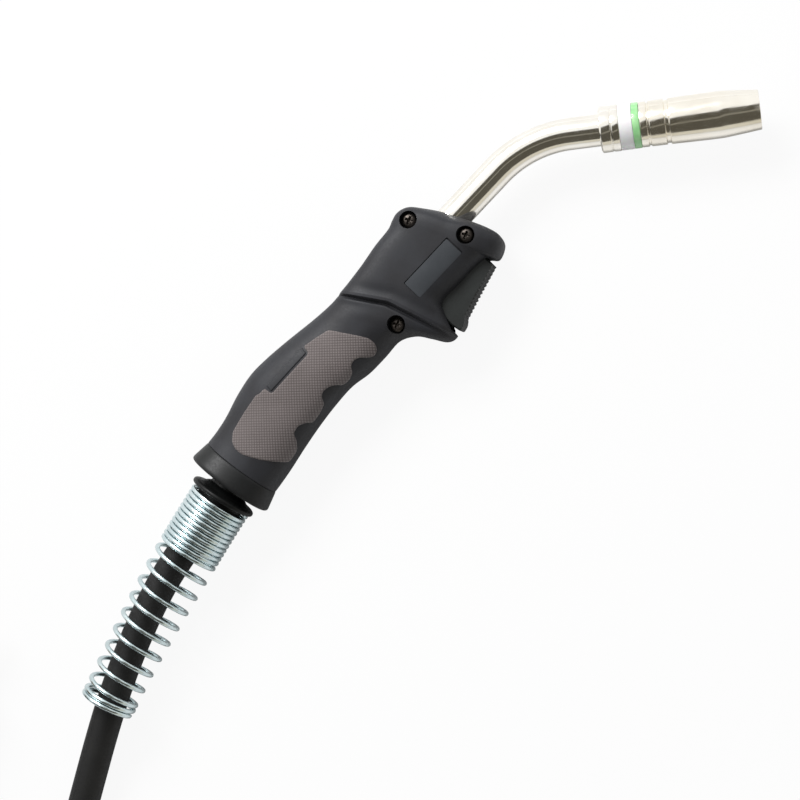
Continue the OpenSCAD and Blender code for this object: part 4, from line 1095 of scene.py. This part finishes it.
@dataclass
class SwanNeck:
    """The bent neck, its collar, insulator and ring, and the gas nozzle."""

    radius: float = 8.0
    bend_radius: float = 60.0
    bend_deg: float = 40.0
    cross: float = 51.0
    front: float = 14.7
    collar_radius: float = 11.5
    collar: float = 9.7
    insulator: float = 6.6
    ring: float = 3.6
    nozzle: float = 58.8

    @property
    def axis(self) -> Array:
        """The front end's direction."""
        a = np.radians(self.bend_deg)
        return np.array([np.cos(a), -np.sin(a)])

    @property
    def tangent(self) -> float:
        """From the axes' crossing to each end of the bend."""
        return self.bend_radius * np.tan(np.radians(self.bend_deg) / 2)

    @property
    def collar_at(self) -> Array:
        """Where the collar starts."""
        return np.array([self.cross, 0.0]) + (self.tangent + self.front) * self.axis

    def path(self, inside: float, past: float) -> Array:
        """The neck's centreline: straight, an arc of the bend, and straight again.

        Args:
            inside: length inside the handle.
            past: length beyond the collar's rear.

        Returns:
            Points about 1 mm apart.
        """
        x0 = self.cross - self.tangent
        a = np.radians(np.linspace(90, 90 - self.bend_deg, 60))
        arc = np.stack([x0 + self.bend_radius * np.cos(a), self.bend_radius * (np.sin(a) - 1)], -1)
        first = np.stack([np.linspace(-inside, x0 - 1, 40), np.zeros(40)], -1)
        last = arc[-1] + np.linspace(1, self.front + past, 14)[:, None] * self.axis
        flat = np.concatenate([first, arc, last])
        return np.column_stack([flat, np.zeros(len(flat))])

    def turned_grid(self, loop: Array, start: float, sides: int) -> Array:
        """The grid of a closed profile turned about the front end, start behind the collar's rear."""
        return turned(loop, self.collar_at + start * self.axis, self.axis, sides)

    def ring_piece(
        self, name: str, profile: list, rounding: float, start: float
    ) -> bpy.types.Object:
        """A turned ring with eased edges, its closed profile given by radius and length."""
        grid = self.turned_grid(rounded(profile, rounding), start, 128)
        return grid_object(name, grid, loop_u=True)

    def build(self) -> None:
        """Builds the neck from the handle to the nozzle's mouth."""
        tube = grid_object("swan_neck", swept(self.path(14, 6), self.radius, 96))
        dress(tube, Finish.NICKEL, "handle", ["neck_tube"])
        r, c, bore = self.collar_radius, self.collar, self.radius
        low = r - 0.35
        collar = [(bore, 0), (r - 0.8, 0), (r, 0.7), (r, 5.3), (low, 5.6), (low, 5.9), (r, 6.2)]
        collar += [(r, c - 0.05), (bore, c - 0.05)]
        piece = self.ring_piece("neck_collar", collar, 0.25, 0)
        dress(piece, Finish.NICKEL, "handle", ["front_collar"])
        n, g = self.insulator, self.ring
        sleeve, waist, inner = 8.68, 7.75, 7.1
        seat = [(inner, 0.05), (r - 0.1, 0.05), (r - 0.1, n - 0.05), (sleeve, n - 0.05)]
        seat += [(sleeve, n + g + 8.9), (waist, n + g + 9), (waist, n + g + 12)]
        seat += [(sleeve, n + g + 12.1), (sleeve, n + g + 20), (inner, n + g + 20)]
        start = self.collar
        piece = self.ring_piece("white_ring", seat, 0.3, start)
        dress(piece, Finish.INSULATOR, "handle", ["nozzle_insulator"])
        start += n
        green = [(8.75, 0.06), (r - 0.15, 0.06), (r - 0.15, g - 0.06), (8.75, g - 0.06)]
        piece = self.ring_piece("green_collar", green, 0.35, start)
        dress(piece, Finish.GREEN, "handle", ["green_ring"])
        self.build_nozzle(start + g)

    def build_nozzle(self, start: float) -> None:
        """The nozzle: a barrel that swells to its widest two thirds on, with two turned grooves."""
        n = self.nozzle
        outside = [(11.2, 0.0), (11.2, 3.5), (10.6, 3.75), (10.6, 4.55), (11.2, 4.8), (11.3, 12.2)]
        outside += [(10.6, 12.6), (10.6, 14.2), (11.3, 14.6), (11.45, 22), (11.6, 34), (11.6, 40)]
        outside += [(11.35, 43), (10.7, 50), (9.8, n)]
        inside = [(8.0, n), (8.0, 44), (8.75, 34), (8.75, 0.0)]
        size = [0.4, 0.2, 0.12, 0.12, 0.2, 0.2, 0.12, 0.12, 0.2, 4, 4, 3, 2.5, 3, 0.35, 0.5, 2, 2, 0.4]
        loop = rounded(outside + inside, np.array(size), 6)
        loop[:, 1] = np.minimum(loop[:, 1] + 0.04, n)
        grid = self.turned_grid(loop, start, 160)
        piece = grid_object("nozzle_barrel", grid, loop_u=True, sharp_deg=30)
        dress(piece, Finish.NOZZLE, "nozzle", ["gas_nozzle"])


# ---- Cable support and relief spring ---------------------------------------------------


@dataclass
class CableSupport:
    """The ball-ended support, and the relief spring on its seat."""

    knuckle: Array
    rest_deg: float = 190.5
    ball: float = 14.0
    neck: float = 9.6
    flange: float = 17.5
    seat: float = 12.4
    bore: float = 8.6
    start: float = 20.4
    wire: float = 2.4
    coil_radius: float = 15.05
    end_radius: float = 13.3
    tight: int = 12
    open_turns: int = 9
    open_pitch: float = 9.2
    end_turns: int = 2
    bend_deg: float = 7.5

    @property
    def axis(self) -> Array:
        """The support's direction at rest."""
        a = np.radians(self.rest_deg)
        return np.array([np.cos(a), np.sin(a)])

    def build_support(self) -> None:
        """The support: part of a ball, a neck, a flared flange and the spring's seat."""
        d = np.linspace(-7.5, 10.1, 30)
        ball = np.column_stack([np.sqrt(self.ball**2 - d**2), d])
        s = self.start
        rim, seat, hole = self.flange, self.seat, self.bore
        body = [(self.neck, 11.0), (self.neck, 14.6), (13.6, 17.2), (rim - 1, 17.6), (rim, 18.4)]
        body += [(rim, 19.6), (rim - 0.6, s - 0.1), (seat, s - 0.1), (seat, s + 8), (hole, s + 8)]
        tail = rounded(np.array([(self.neck, 10.6), *body, (hole, 2.0)]), 0.6, 5, closed=False)
        bore = np.array([(hole, 1.0), (12.6, -7.4)])
        loop = np.concatenate([ball, tail, bore])
        piece = grid_object("support_body", turned(loop, self.knuckle, self.axis), loop_u=True)
        dress(piece, Finish.SUPPORT, "support", ["cable_support"])

    def centreline(self, s: Array) -> tuple[Array, Array]:
        """The spring's own axis: an arc that turns by bend_deg over its length.

        Args:
            s: distances from the spring's start.

        Returns:
            Points and headings in radians.
        """
        length = self.length
        heading = np.radians(self.rest_deg + self.bend_deg * s / length)
        r = length / np.radians(self.bend_deg)
        first = np.radians(self.rest_deg)
        centre = self.knuckle + self.start * self.axis
        x = centre[0] + r * (np.sin(heading) - np.sin(first))
        y = centre[1] + r * (np.cos(first) - np.cos(heading))
        return np.column_stack([x, y, np.zeros_like(x)]), heading

    @property
    def length(self) -> float:
        """The spring's length along its axis."""
        return (self.tight + self.end_turns) * (self.wire + 0.2) + self.open_turns * self.open_pitch

    def build_spring(self) -> None:
        """The spring: a right-hand helix whose pitch opens, and whose radius falls to its end."""
        steps, ease = 40, 0.3
        opens, closes = self.tight, self.tight + self.open_turns
        turns = closes + self.end_turns
        t = np.linspace(0, turns, turns * steps + 1)
        pitch = self.wire + 0.2
        knots = [0, opens - ease, opens + ease, closes - ease, closes + ease, turns]
        rates = np.interp(t, knots, [pitch, pitch, self.open_pitch, self.open_pitch, pitch, pitch])
        along = np.concatenate([[0], np.cumsum((rates[1:] + rates[:-1]) / 2 * np.diff(t))])
        along *= (self.length - 0.2) / along[-1]
        along += self.wire / 2
        centre, heading = self.centreline(along)
        share = smooth((along - self.tight * pitch) / (self.open_turns * self.open_pitch))
        radius = self.coil_radius + (self.end_radius - self.coil_radius) * share
        a = -2 * np.pi * t
        across = np.stack([-np.sin(heading), np.cos(heading), 0 * heading], -1)
        out = across * np.cos(a)[:, None] + np.sin(a)[:, None] * UP
        path = centre + out * radius[:, None]
        tangent = unit(np.gradient(path, axis=0))
        lift = unit(np.cross(tangent, out))
        b = np.linspace(0, 2 * np.pi, 14, endpoint=False)[None, :, None]
        wire = np.full(len(t), self.wire / 2)
        wire[0] = wire[-1] = self.wire * 0.32
        grid = path[:, None] + wire[:, None, None] * (np.cos(b) * out[:, None] + np.sin(b) * lift[:, None])
        piece = grid_object("relief_coil", grid, sharp_deg=60)
        dress(piece, Finish.ZINC, "support", ["relief_spring"])

    def build(self) -> None:
        """Builds the support and its spring."""
        self.build_support()
        self.build_spring()


# ---- Lead and plug ---------------------------------------------------------------------


@dataclass
class Lead:
    """The coaxial lead: through the spring, down to the bench, into a neat coil and its plug.

    The coil's centre lies back behind the knuckle and side beside it. The lead meets the coil at
    entry_deg and turns by turned_deg in it. Each of steps is the turn at which its radius starts
    to change, and by how many diameters; climb is where it starts on the upper layer.
    """

    knuckle: Array
    diameter: float = 16.0
    back: float = 390.0
    side: float = 44.0
    coil_radius: float = 106.0
    columns: int = 3
    entry_deg: float = -62.8
    turned_deg: float = 1647.2
    steps: tuple = ((335, -1), (695, -1), (1415, 1))
    climb: float = 1045
    boot_at: float = 90
    tail: tuple = (3, 124)
    plug_height: float = 24.0
    route: Array = field(
        default_factory=lambda: np.array(
            [
                [-1.5, -0.3, 19.5], [-20, -3.7, 19.5], [-40, -6.4, 19.1], [-56, -8, 18.7], [-72, -11, 18.3],
                [-88, -15.5, 17.9], [-104, -21, 17.5], [-120, -27.3, 17], [-136, -34.4, 16.2],
                [-152, -42, 14.4], [-170, -51, 12], [-190, -61.2, 9.6], [-210, -71.4, 8.3], [-232, -82.6, 8],
                [-256, -94.8, 8], [-280, -107.1, 8],
            ]
        )
    )  # fmt: skip

    @property
    def centre(self) -> Array:
        """The coil's centre, from the knuckle's."""
        return np.array([-self.back, -self.side])

    @property
    def plug_start(self) -> Array:
        """Where the plug's boot starts on the lead's straight end."""
        return self.knuckle + self.centre + (self.boot_at, self.coil_radius - self.diameter)

    def path(self) -> Array:
        """The lead's centreline: the route's curve, five turns in two layers, and the plug's axis.

        Round the coil, the angle falls evenly with the turns. The radius passes from one turn's
        to the next over 50 degrees, and the height to the upper layer's over 70.

        Returns:
            Points about 4 mm apart, from the knuckle's centre, with z over the bench.
        """
        d = self.diameter
        first = curve_rows(self.route, np.linspace(0, len(self.route) - 1, 90))
        turn = np.arange(2, self.turned_deg, 2.4)
        radius = np.full(len(turn), self.coil_radius)
        for at, diameters in self.steps:
            radius = radius + diameters * d * smooth((turn - at) / 50)
        height = d / 2 + d * smooth((turn - self.climb) / 70)
        angle = np.radians(self.entry_deg) - np.radians(turn)
        circle = np.stack([np.cos(angle), np.sin(angle)], -1)
        coil = np.column_stack([self.centre + radius[:, None] * circle, height])
        top = d * 1.5
        run = np.linspace(*self.tail, 40)
        level = np.full(40, self.centre[1] + self.coil_radius - d)
        tail = np.column_stack([self.centre[0] + run, level, top + 0 * run])
        tail[:, 2] = top + (self.plug_height - top) * smooth(run / 80)
        whole = np.concatenate([first, coil, tail])
        gap = np.concatenate([[0], np.cumsum(np.linalg.norm(np.diff(whole, axis=0), axis=1))])
        even = np.linspace(0, gap[-1], int(gap[-1] / 4))
        return np.column_stack([np.interp(even, gap, whole[:, k]) for k in range(3)])

    def build(self, with_pieces: list) -> float:
        """Args:
            with_pieces: what is on the lead. It is not used.

        Returns:
            Its length in metres.
        """
        path = self.path() + (*self.knuckle, -LAYOUT.mid_z)
        tube = grid_object("lead_sheath", swept(path, self.diameter / 2 - 0.02, 20), sharp_deg=60)
        dress(tube, Finish.HOSE, "support", ["lead_tube", "lead_coil", "lead_tail"])
        placed = LAYOUT.place(path)
        length = float(np.linalg.norm(np.diff(placed, axis=0), axis=1).sum())
        return length

    def build_tie(self) -> bpy.types.Object:
        """The strap over the coil: a flat band bent over its section, open at the bench."""
        inner = self.coil_radius + self.diameter / 2 + 0.5 - self.columns * self.diameter - 1
        outer = self.coil_radius + self.diameter / 2 + 0.5
        top = 2 * self.diameter + 0.5
        gap, thick, half_width, at_deg = 0.25, 1.4, 6, 150
        slope = self.coil_radius + self.diameter / 2 * (1 + np.sqrt(2)) + 0.5

        def arch(out: float) -> Array:
            """The band's outline at a distance out from the coil's section: over the upper layer's
            two turns, and down at 45 degrees to the lower layer's outer one."""
            fall = slope + out * np.sqrt(2)
            corners = [(inner - out, 0.05), (inner - out, top + out), (fall - top - out, top + out)]
            corners += [(outer + out, fall - outer - out), (outer + out, 0.05)]
            return rounded(corners, 7.0, 8, closed=False)

        loop = np.concatenate([arch(gap + thick), arch(gap)[::-1]])
        a = np.radians(at_deg)
        radial, along = np.array([np.cos(a), np.sin(a)]), np.array([-np.sin(a), np.cos(a)])
        spot = self.knuckle + self.centre
        rows = []
        for w in (-half_width, half_width):
            flat = spot + loop[:, :1] * radial + w * along
            rows.append(np.column_stack([flat, loop[:, 1] - LAYOUT.mid_z]))
        strap = grid_object("coil_strap", np.array(rows), sharp_deg=50)
        return dress(strap, Finish.STRAP, "support", ["coil_tie"])


@dataclass
class Plug:
    """The central plug: a ribbed boot, a gripped housing and a knurled nut."""

    start: Array
    height: float = 24.0
    boot: float = 44.0
    housing_at: float = 36.0
    housing: float = 62.0
    radius: float = 24.0
    nut: float = 24.0
    nut_radius: float = 23.5

    def piece(
        self,
        name: str,
        loop: Array,
        ripple: Callable[[Array, Array, Array], Array] | None = None,
        sides: int = 120,
    ) -> bpy.types.Object:
        """A turned piece about the plug's axis.

        Args:
            name: the object's name.
            loop: its closed profile of radius and length.
            ripple: what is added to the radius, from the length, the angle and the radius.
            sides: points on each circle.

        Returns:
            The piece.
        """
        grid = turned(loop, self.start, np.array([1.0, 0.0]), sides)
        grid[..., 2] += self.height - LAYOUT.mid_z
        if ripple is not None:
            centre = np.array([0, self.start[1], self.height - LAYOUT.mid_z])
            rel = (grid - centre) * (0, 1, 1)
            radius = np.linalg.norm(rel, axis=-1)
            angle = np.arctan2(rel[..., 2], rel[..., 1])
            grid = grid + unit(rel) * ripple(grid[..., 0] - self.start[0], angle, radius)[..., None]
        return grid_object(name, grid, loop_u=True, sharp_deg=40)

    def build(self) -> list:
        """Builds the boot, the housing and the nut.

        Returns:
            The pieces that are on the lead.
        """
        b = self.boot
        x = np.linspace(0.3, 32, 120)
        ribs = smooth((np.cos(2 * np.pi * (x - 7.5) / 6) + 0.3) / 0.8)
        wave = 0.9 * ribs * smooth((x - 3) / 3) * smooth((34.5 - x) / 2)
        outside = np.column_stack([9.9 + x * 0.085 + wave, x])
        loop = np.concatenate([outside, [(13.3, 35.5), (13.4, b - 0.2), (8.1, b - 0.2), (8.1, 0.3)]])
        boot = self.piece("plug_sleeve", loop)
        dress(boot, Finish.BOOT, "support", ["plug_boot"])
        h, e, r = self.housing_at, self.housing_at + self.housing, self.radius
        body = rounded(
            [(13.6, h), (16.0, h), (17.2, h + 2), (18, h + 14), (r - 1.4, h + 34), (r, h + 43),
             (r, e), (16.6, e), (16.6, e - 15.9), (10.1, e - 15.9), (10.1, b + 0.1), (13.6, b + 0.1)],
            np.array([0.3, 0.8, 2, 5, 5, 4, 1.0, 0.4, 0.3, 0.3, 0.3, 0.3]), 7,
        )  # fmt: skip

        def grips(length: Array, angle: Array, radius: Array) -> Array:
            """Long shallow flutes between the shoulder and the nut."""
            band = smooth((length - h - 18) / 8) * smooth((e - 4 - length) / 4)
            return -0.8 * band * smooth((np.cos(12 * angle) - 0.2) / 0.5) * (radius > 17)

        housing = self.piece("plug_shell", body, grips, 192)
        dress(housing, Finish.PLUG, "support", ["plug_housing"])
        s, w, o = e + 0.3, 16.8, self.nut_radius
        ring = rounded(
            [(w, s), (o, s), (o, s + self.nut), (w + 2.5, s + self.nut), (w + 2.5, s + 8), (w, s + 6)],
            np.array([0.3, 1.0, 1.5, 0.4, 0.5, 0.3]), 6,
        )  # fmt: skip

        def knurl(length: Array, angle: Array, radius: Array) -> Array:
            """Rounded flutes every 15 degrees."""
            band = smooth((s + self.nut - 1.8 - length) / 1.5)
            return -1.0 * band * smooth((np.cos(24 * angle) - 0.35) / 0.5) * (radius > 21)

        nut = self.piece("plug_ring_nut", ring, knurl, 288)
        dress(nut, Finish.PLUG, "plug_nut", ["plug_nut"])
        return [boot, housing, nut]


# ---- Inner pieces ----------------------------------------------------------------------

PLUG_NODES = (
    "plug_body",
    "plug_main_pin",
    "plug_oring",
    "liner_nut",
    "control_pin_upper",
    "control_pin_lower",
)
INNER = {
    Finish.SLEEVING: ("neck_insulation", "gas_diffuser"),
    Finish.COPPER: ("neck_conductor", "tip_holder", "contact_tip"),
    Finish.STEEL: ("wire_liner", "nozzle_spring", "trigger_pin", "trigger_spring"),
    Finish.BRASS: (
        "neck_seat_block",
        "cable_ferrule",
        "switch_terminals",
        "plug_body",
        "plug_main_pin",
        "liner_nut",
        "control_pin_upper",
        "control_pin_lower",
    ),
    Finish.SWITCH: ("microswitch_body",),
    Finish.PLUNGER: ("switch_plunger",),
    Finish.HOSE: ("lead_in_handle",),
    Finish.ORING: ("plug_oring",),
}


def dress_nodes(nodes: dict) -> None:
    """Gives the modelled pieces that stay as they are their finishes.

    Args:
        nodes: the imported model's objects by name.
    """
    for finish, names in INNER.items():
        for name in names:
            for place in nodes[name].material_slots:
                place.link = "OBJECT"
                place.material = finish.material()
            LOG.info("%s: finished", name)


# ---- Studio ----------------------------------------------------------------------------


@dataclass
class Studio:
    """A pale bench under soft light, seen from above and a little towards the plug's side.

    A lamp is its name, place, size and watts. A card is its name, span, radius, shade, reach and
    turn. The bench glows by one share for what the camera sees and by one for what is mirrored.
    """

    eye: tuple = (0.09389, -0.15973, 1.15569)
    forward: tuple = (-0.0874, 0.12742, -0.98799)
    up: tuple = (0.72373, 0.68963, 0.02491)
    lens: float = 103.5
    sensor: float = 36.0
    bench_half: float = 6.0
    bench_seen: float = 0.92
    bench_mirrored: float = 0.04
    surround: float = 0.36
    lamps: tuple = (
        ("key", (0.3, 1.1, 1.05), (0.9, 0.6), 27),
        ("fill", (0.9, -0.6, 1.3), (0.8, 0.8), 1.0),
    )
    cards: tuple = (
        ("dark_flag", (-8, 65), 4.0, "#55524a", 5.0, False),
        ("pale_strip", (14, 19), 3.9, "#8e8b80", 5.0, False),
        ("grey_flag", (65, 89.9), 4.0, "#d4d0c4", 5.0, False),
        ("rear_flag", (42, 84), 3.6, "#4c4c4a", 1.5, True),
    )

    @staticmethod
    def blank(made: bpy.types.Material | bpy.types.World) -> bpy.types.NodeTree:
        """The emptied node tree of a new material or world."""
        made.use_nodes = True
        made.node_tree.nodes.clear()
        return made.node_tree

    @staticmethod
    def finish(tree: bpy.types.NodeTree, kind: str, surface: Socket) -> None:
        """Feeds a tree's output, of the given kind."""
        add(tree, kind, links={0: surface})

    def build_camera(self) -> None:
        """The camera, from its place and two directions."""
        data = bpy.data.cameras.new("camera")
        data.sensor_fit, data.sensor_width, data.lens = "HORIZONTAL", self.sensor, self.lens
        data.clip_start, data.clip_end = 0.05, 20
        camera = linked("camera", data)
        ahead, up = Vector(self.forward).normalized(), Vector(self.up)
        right = ahead.cross(up).normalized()
        top = right.cross(ahead)
        turn = Matrix((right, top, -ahead)).transposed().to_4x4()
        camera.matrix_world = Matrix.Translation(Vector(self.eye)) @ turn
        bpy.context.scene.camera = camera

    def lamp(self, name: str, place: tuple, size: tuple, watts: float) -> None:
        """A soft rectangular lamp that points at the part's origin."""
        data = bpy.data.lights.new(name, "AREA")
        data.shape, data.size, data.size_y, data.energy = "RECTANGLE", *size, watts
        made = linked(name, data)
        made.location = place
        made.rotation_euler = (-Vector(place)).to_track_quat("-Z", "Y").to_euler()

    def card(
        self,
        name: str,
        span: tuple[float, float],
        radius: float,
        shade: str,
        reach: float,
        turn: bool,
    ) -> None:
        """A card bent about a level axis, that only shows in what is polished.

        Args:
            name: its name.
            span: where it starts and ends, in degrees from the vertical towards -Y.
            radius: its distance in metres.
            shade: its colour.
            reach: half its length along its axis, in metres.
            turn: whether its axis is along Y, with the span towards -X, and not along X.
        """
        count = 25
        a = np.radians(np.linspace(*span, count))
        arc = np.column_stack([0 * a, -radius * np.sin(a), radius * np.cos(a)])
        edge = [arc + (x, 0, 0) for x in (-reach, reach)]
        if turn:
            edge = [rows[:, [1, 0, 2]] for rows in edge]
        mesh = bpy.data.meshes.new(name)
        mesh.from_pydata(np.concatenate(edge).tolist(), [], strip_faces(2, count, False, False))
        made = linked(name, mesh)
        paint = bpy.data.materials.new(name)
        tree = self.blank(paint)
        glow = add(tree, "ShaderNodeEmission", {"in:Color": linear(shade)})
        self.finish(tree, "ShaderNodeOutputMaterial", glow.outputs[0])
        mesh.materials.append(paint)
        made.visible_camera = made.visible_diffuse = made.visible_shadow = False

    def build_bench(self) -> None:
        """The bench: white to the eye and in reflections, but still darkened by the shadow."""
        mesh, h = bpy.data.meshes.new("bench"), self.bench_half
        mesh.from_pydata([(-h, -h, 0), (h, -h, 0), (h, h, 0), (-h, h, 0)], [], [(0, 1, 2, 3)])
        bench = linked("bench", mesh)
        bench.location.z = -0.0002
        paint = bpy.data.materials.new("white bench")
        tree = self.blank(paint)
        seen = add(tree, "ShaderNodeLightPath").outputs
        part = {"operation": "MULTIPLY", 1: self.bench_mirrored}
        mirror = add(tree, "ShaderNodeMath", part, {0: seen["Is Glossy Ray"]})
        part = {"operation": "MULTIPLY_ADD", 1: self.bench_seen}
        share = add(tree, "ShaderNodeMath", part, {0: seen["Is Camera Ray"], 2: mirror.outputs[0]})
        matte = add(tree, "ShaderNodeBsdfDiffuse", {"in:Color": linear("#ebebeb")})
        glow = add(tree, "ShaderNodeEmission", {"in:Color": (1, 1, 1, 1), "in:Strength": 1.0})
        mix = {0: share.outputs[0], 1: matte.outputs[0], 2: glow.outputs[0]}
        mixed = add(tree, "ShaderNodeMixShader", links=mix)
        self.finish(tree, "ShaderNodeOutputMaterial", mixed.outputs[0])
        mesh.materials.append(paint)

    def build_world(self) -> None:
        """A grey surround for the light, white where it is seen or mirrored."""
        world = bpy.data.worlds.new("surround")
        bpy.context.scene.world = world
        tree = self.blank(world)
        seen = add(tree, "ShaderNodeLightPath").outputs
        rays = {0: seen["Is Camera Ray"], 1: seen["Is Glossy Ray"]}
        pick = add(tree, "ShaderNodeMath", {"operation": "MAXIMUM"}, rays)
        colour = {"in:Color": (1, 1, 1, 1)}
        soft = add(tree, "ShaderNodeBackground", {**colour, "in:Strength": self.surround})
        white = add(tree, "ShaderNodeBackground", {**colour, "in:Strength": 1.0})
        mix = {0: pick.outputs[0], 1: soft.outputs[0], 2: white.outputs[0]}
        mixed = add(tree, "ShaderNodeMixShader", links=mix)
        self.finish(tree, "ShaderNodeOutputWorld", mixed.outputs[0])

    def build(self) -> None:
        """Builds the lamps, the cards, the bench and the surround."""
        bpy.context.scene.view_settings.view_transform = "Standard"
        self.build_bench()
        self.build_world()
        for lamp in self.lamps:
            self.lamp(*lamp)
        for card in self.cards:
            self.card(*card)


def main() -> None:
    """Builds the studio and the torch."""
    logging.basicConfig(level=logging.INFO, format="%(name)s %(message)s")
    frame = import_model()
    studio = Studio()
    studio.build_camera()
    handle = Handle()
    lead = Lead(handle.knuckle)
    on_lead = Plug(lead.plug_start).build()
    on_lead.append(lead.build_tie())
    on_lead += [frame["nodes"][name] for name in PLUG_NODES]
    length = lead.build(on_lead)
    LOG.info("lead: %.3f m", length)
    handle.build()
    Trigger().build()
    SwanNeck().build()
    CableSupport(handle.knuckle).build()
    dress_nodes(frame["nodes"])
    spring = frame["nodes"]["trigger_spring"]
    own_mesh(spring)
    studio.build()


if __name__ == "__main__":
    main()
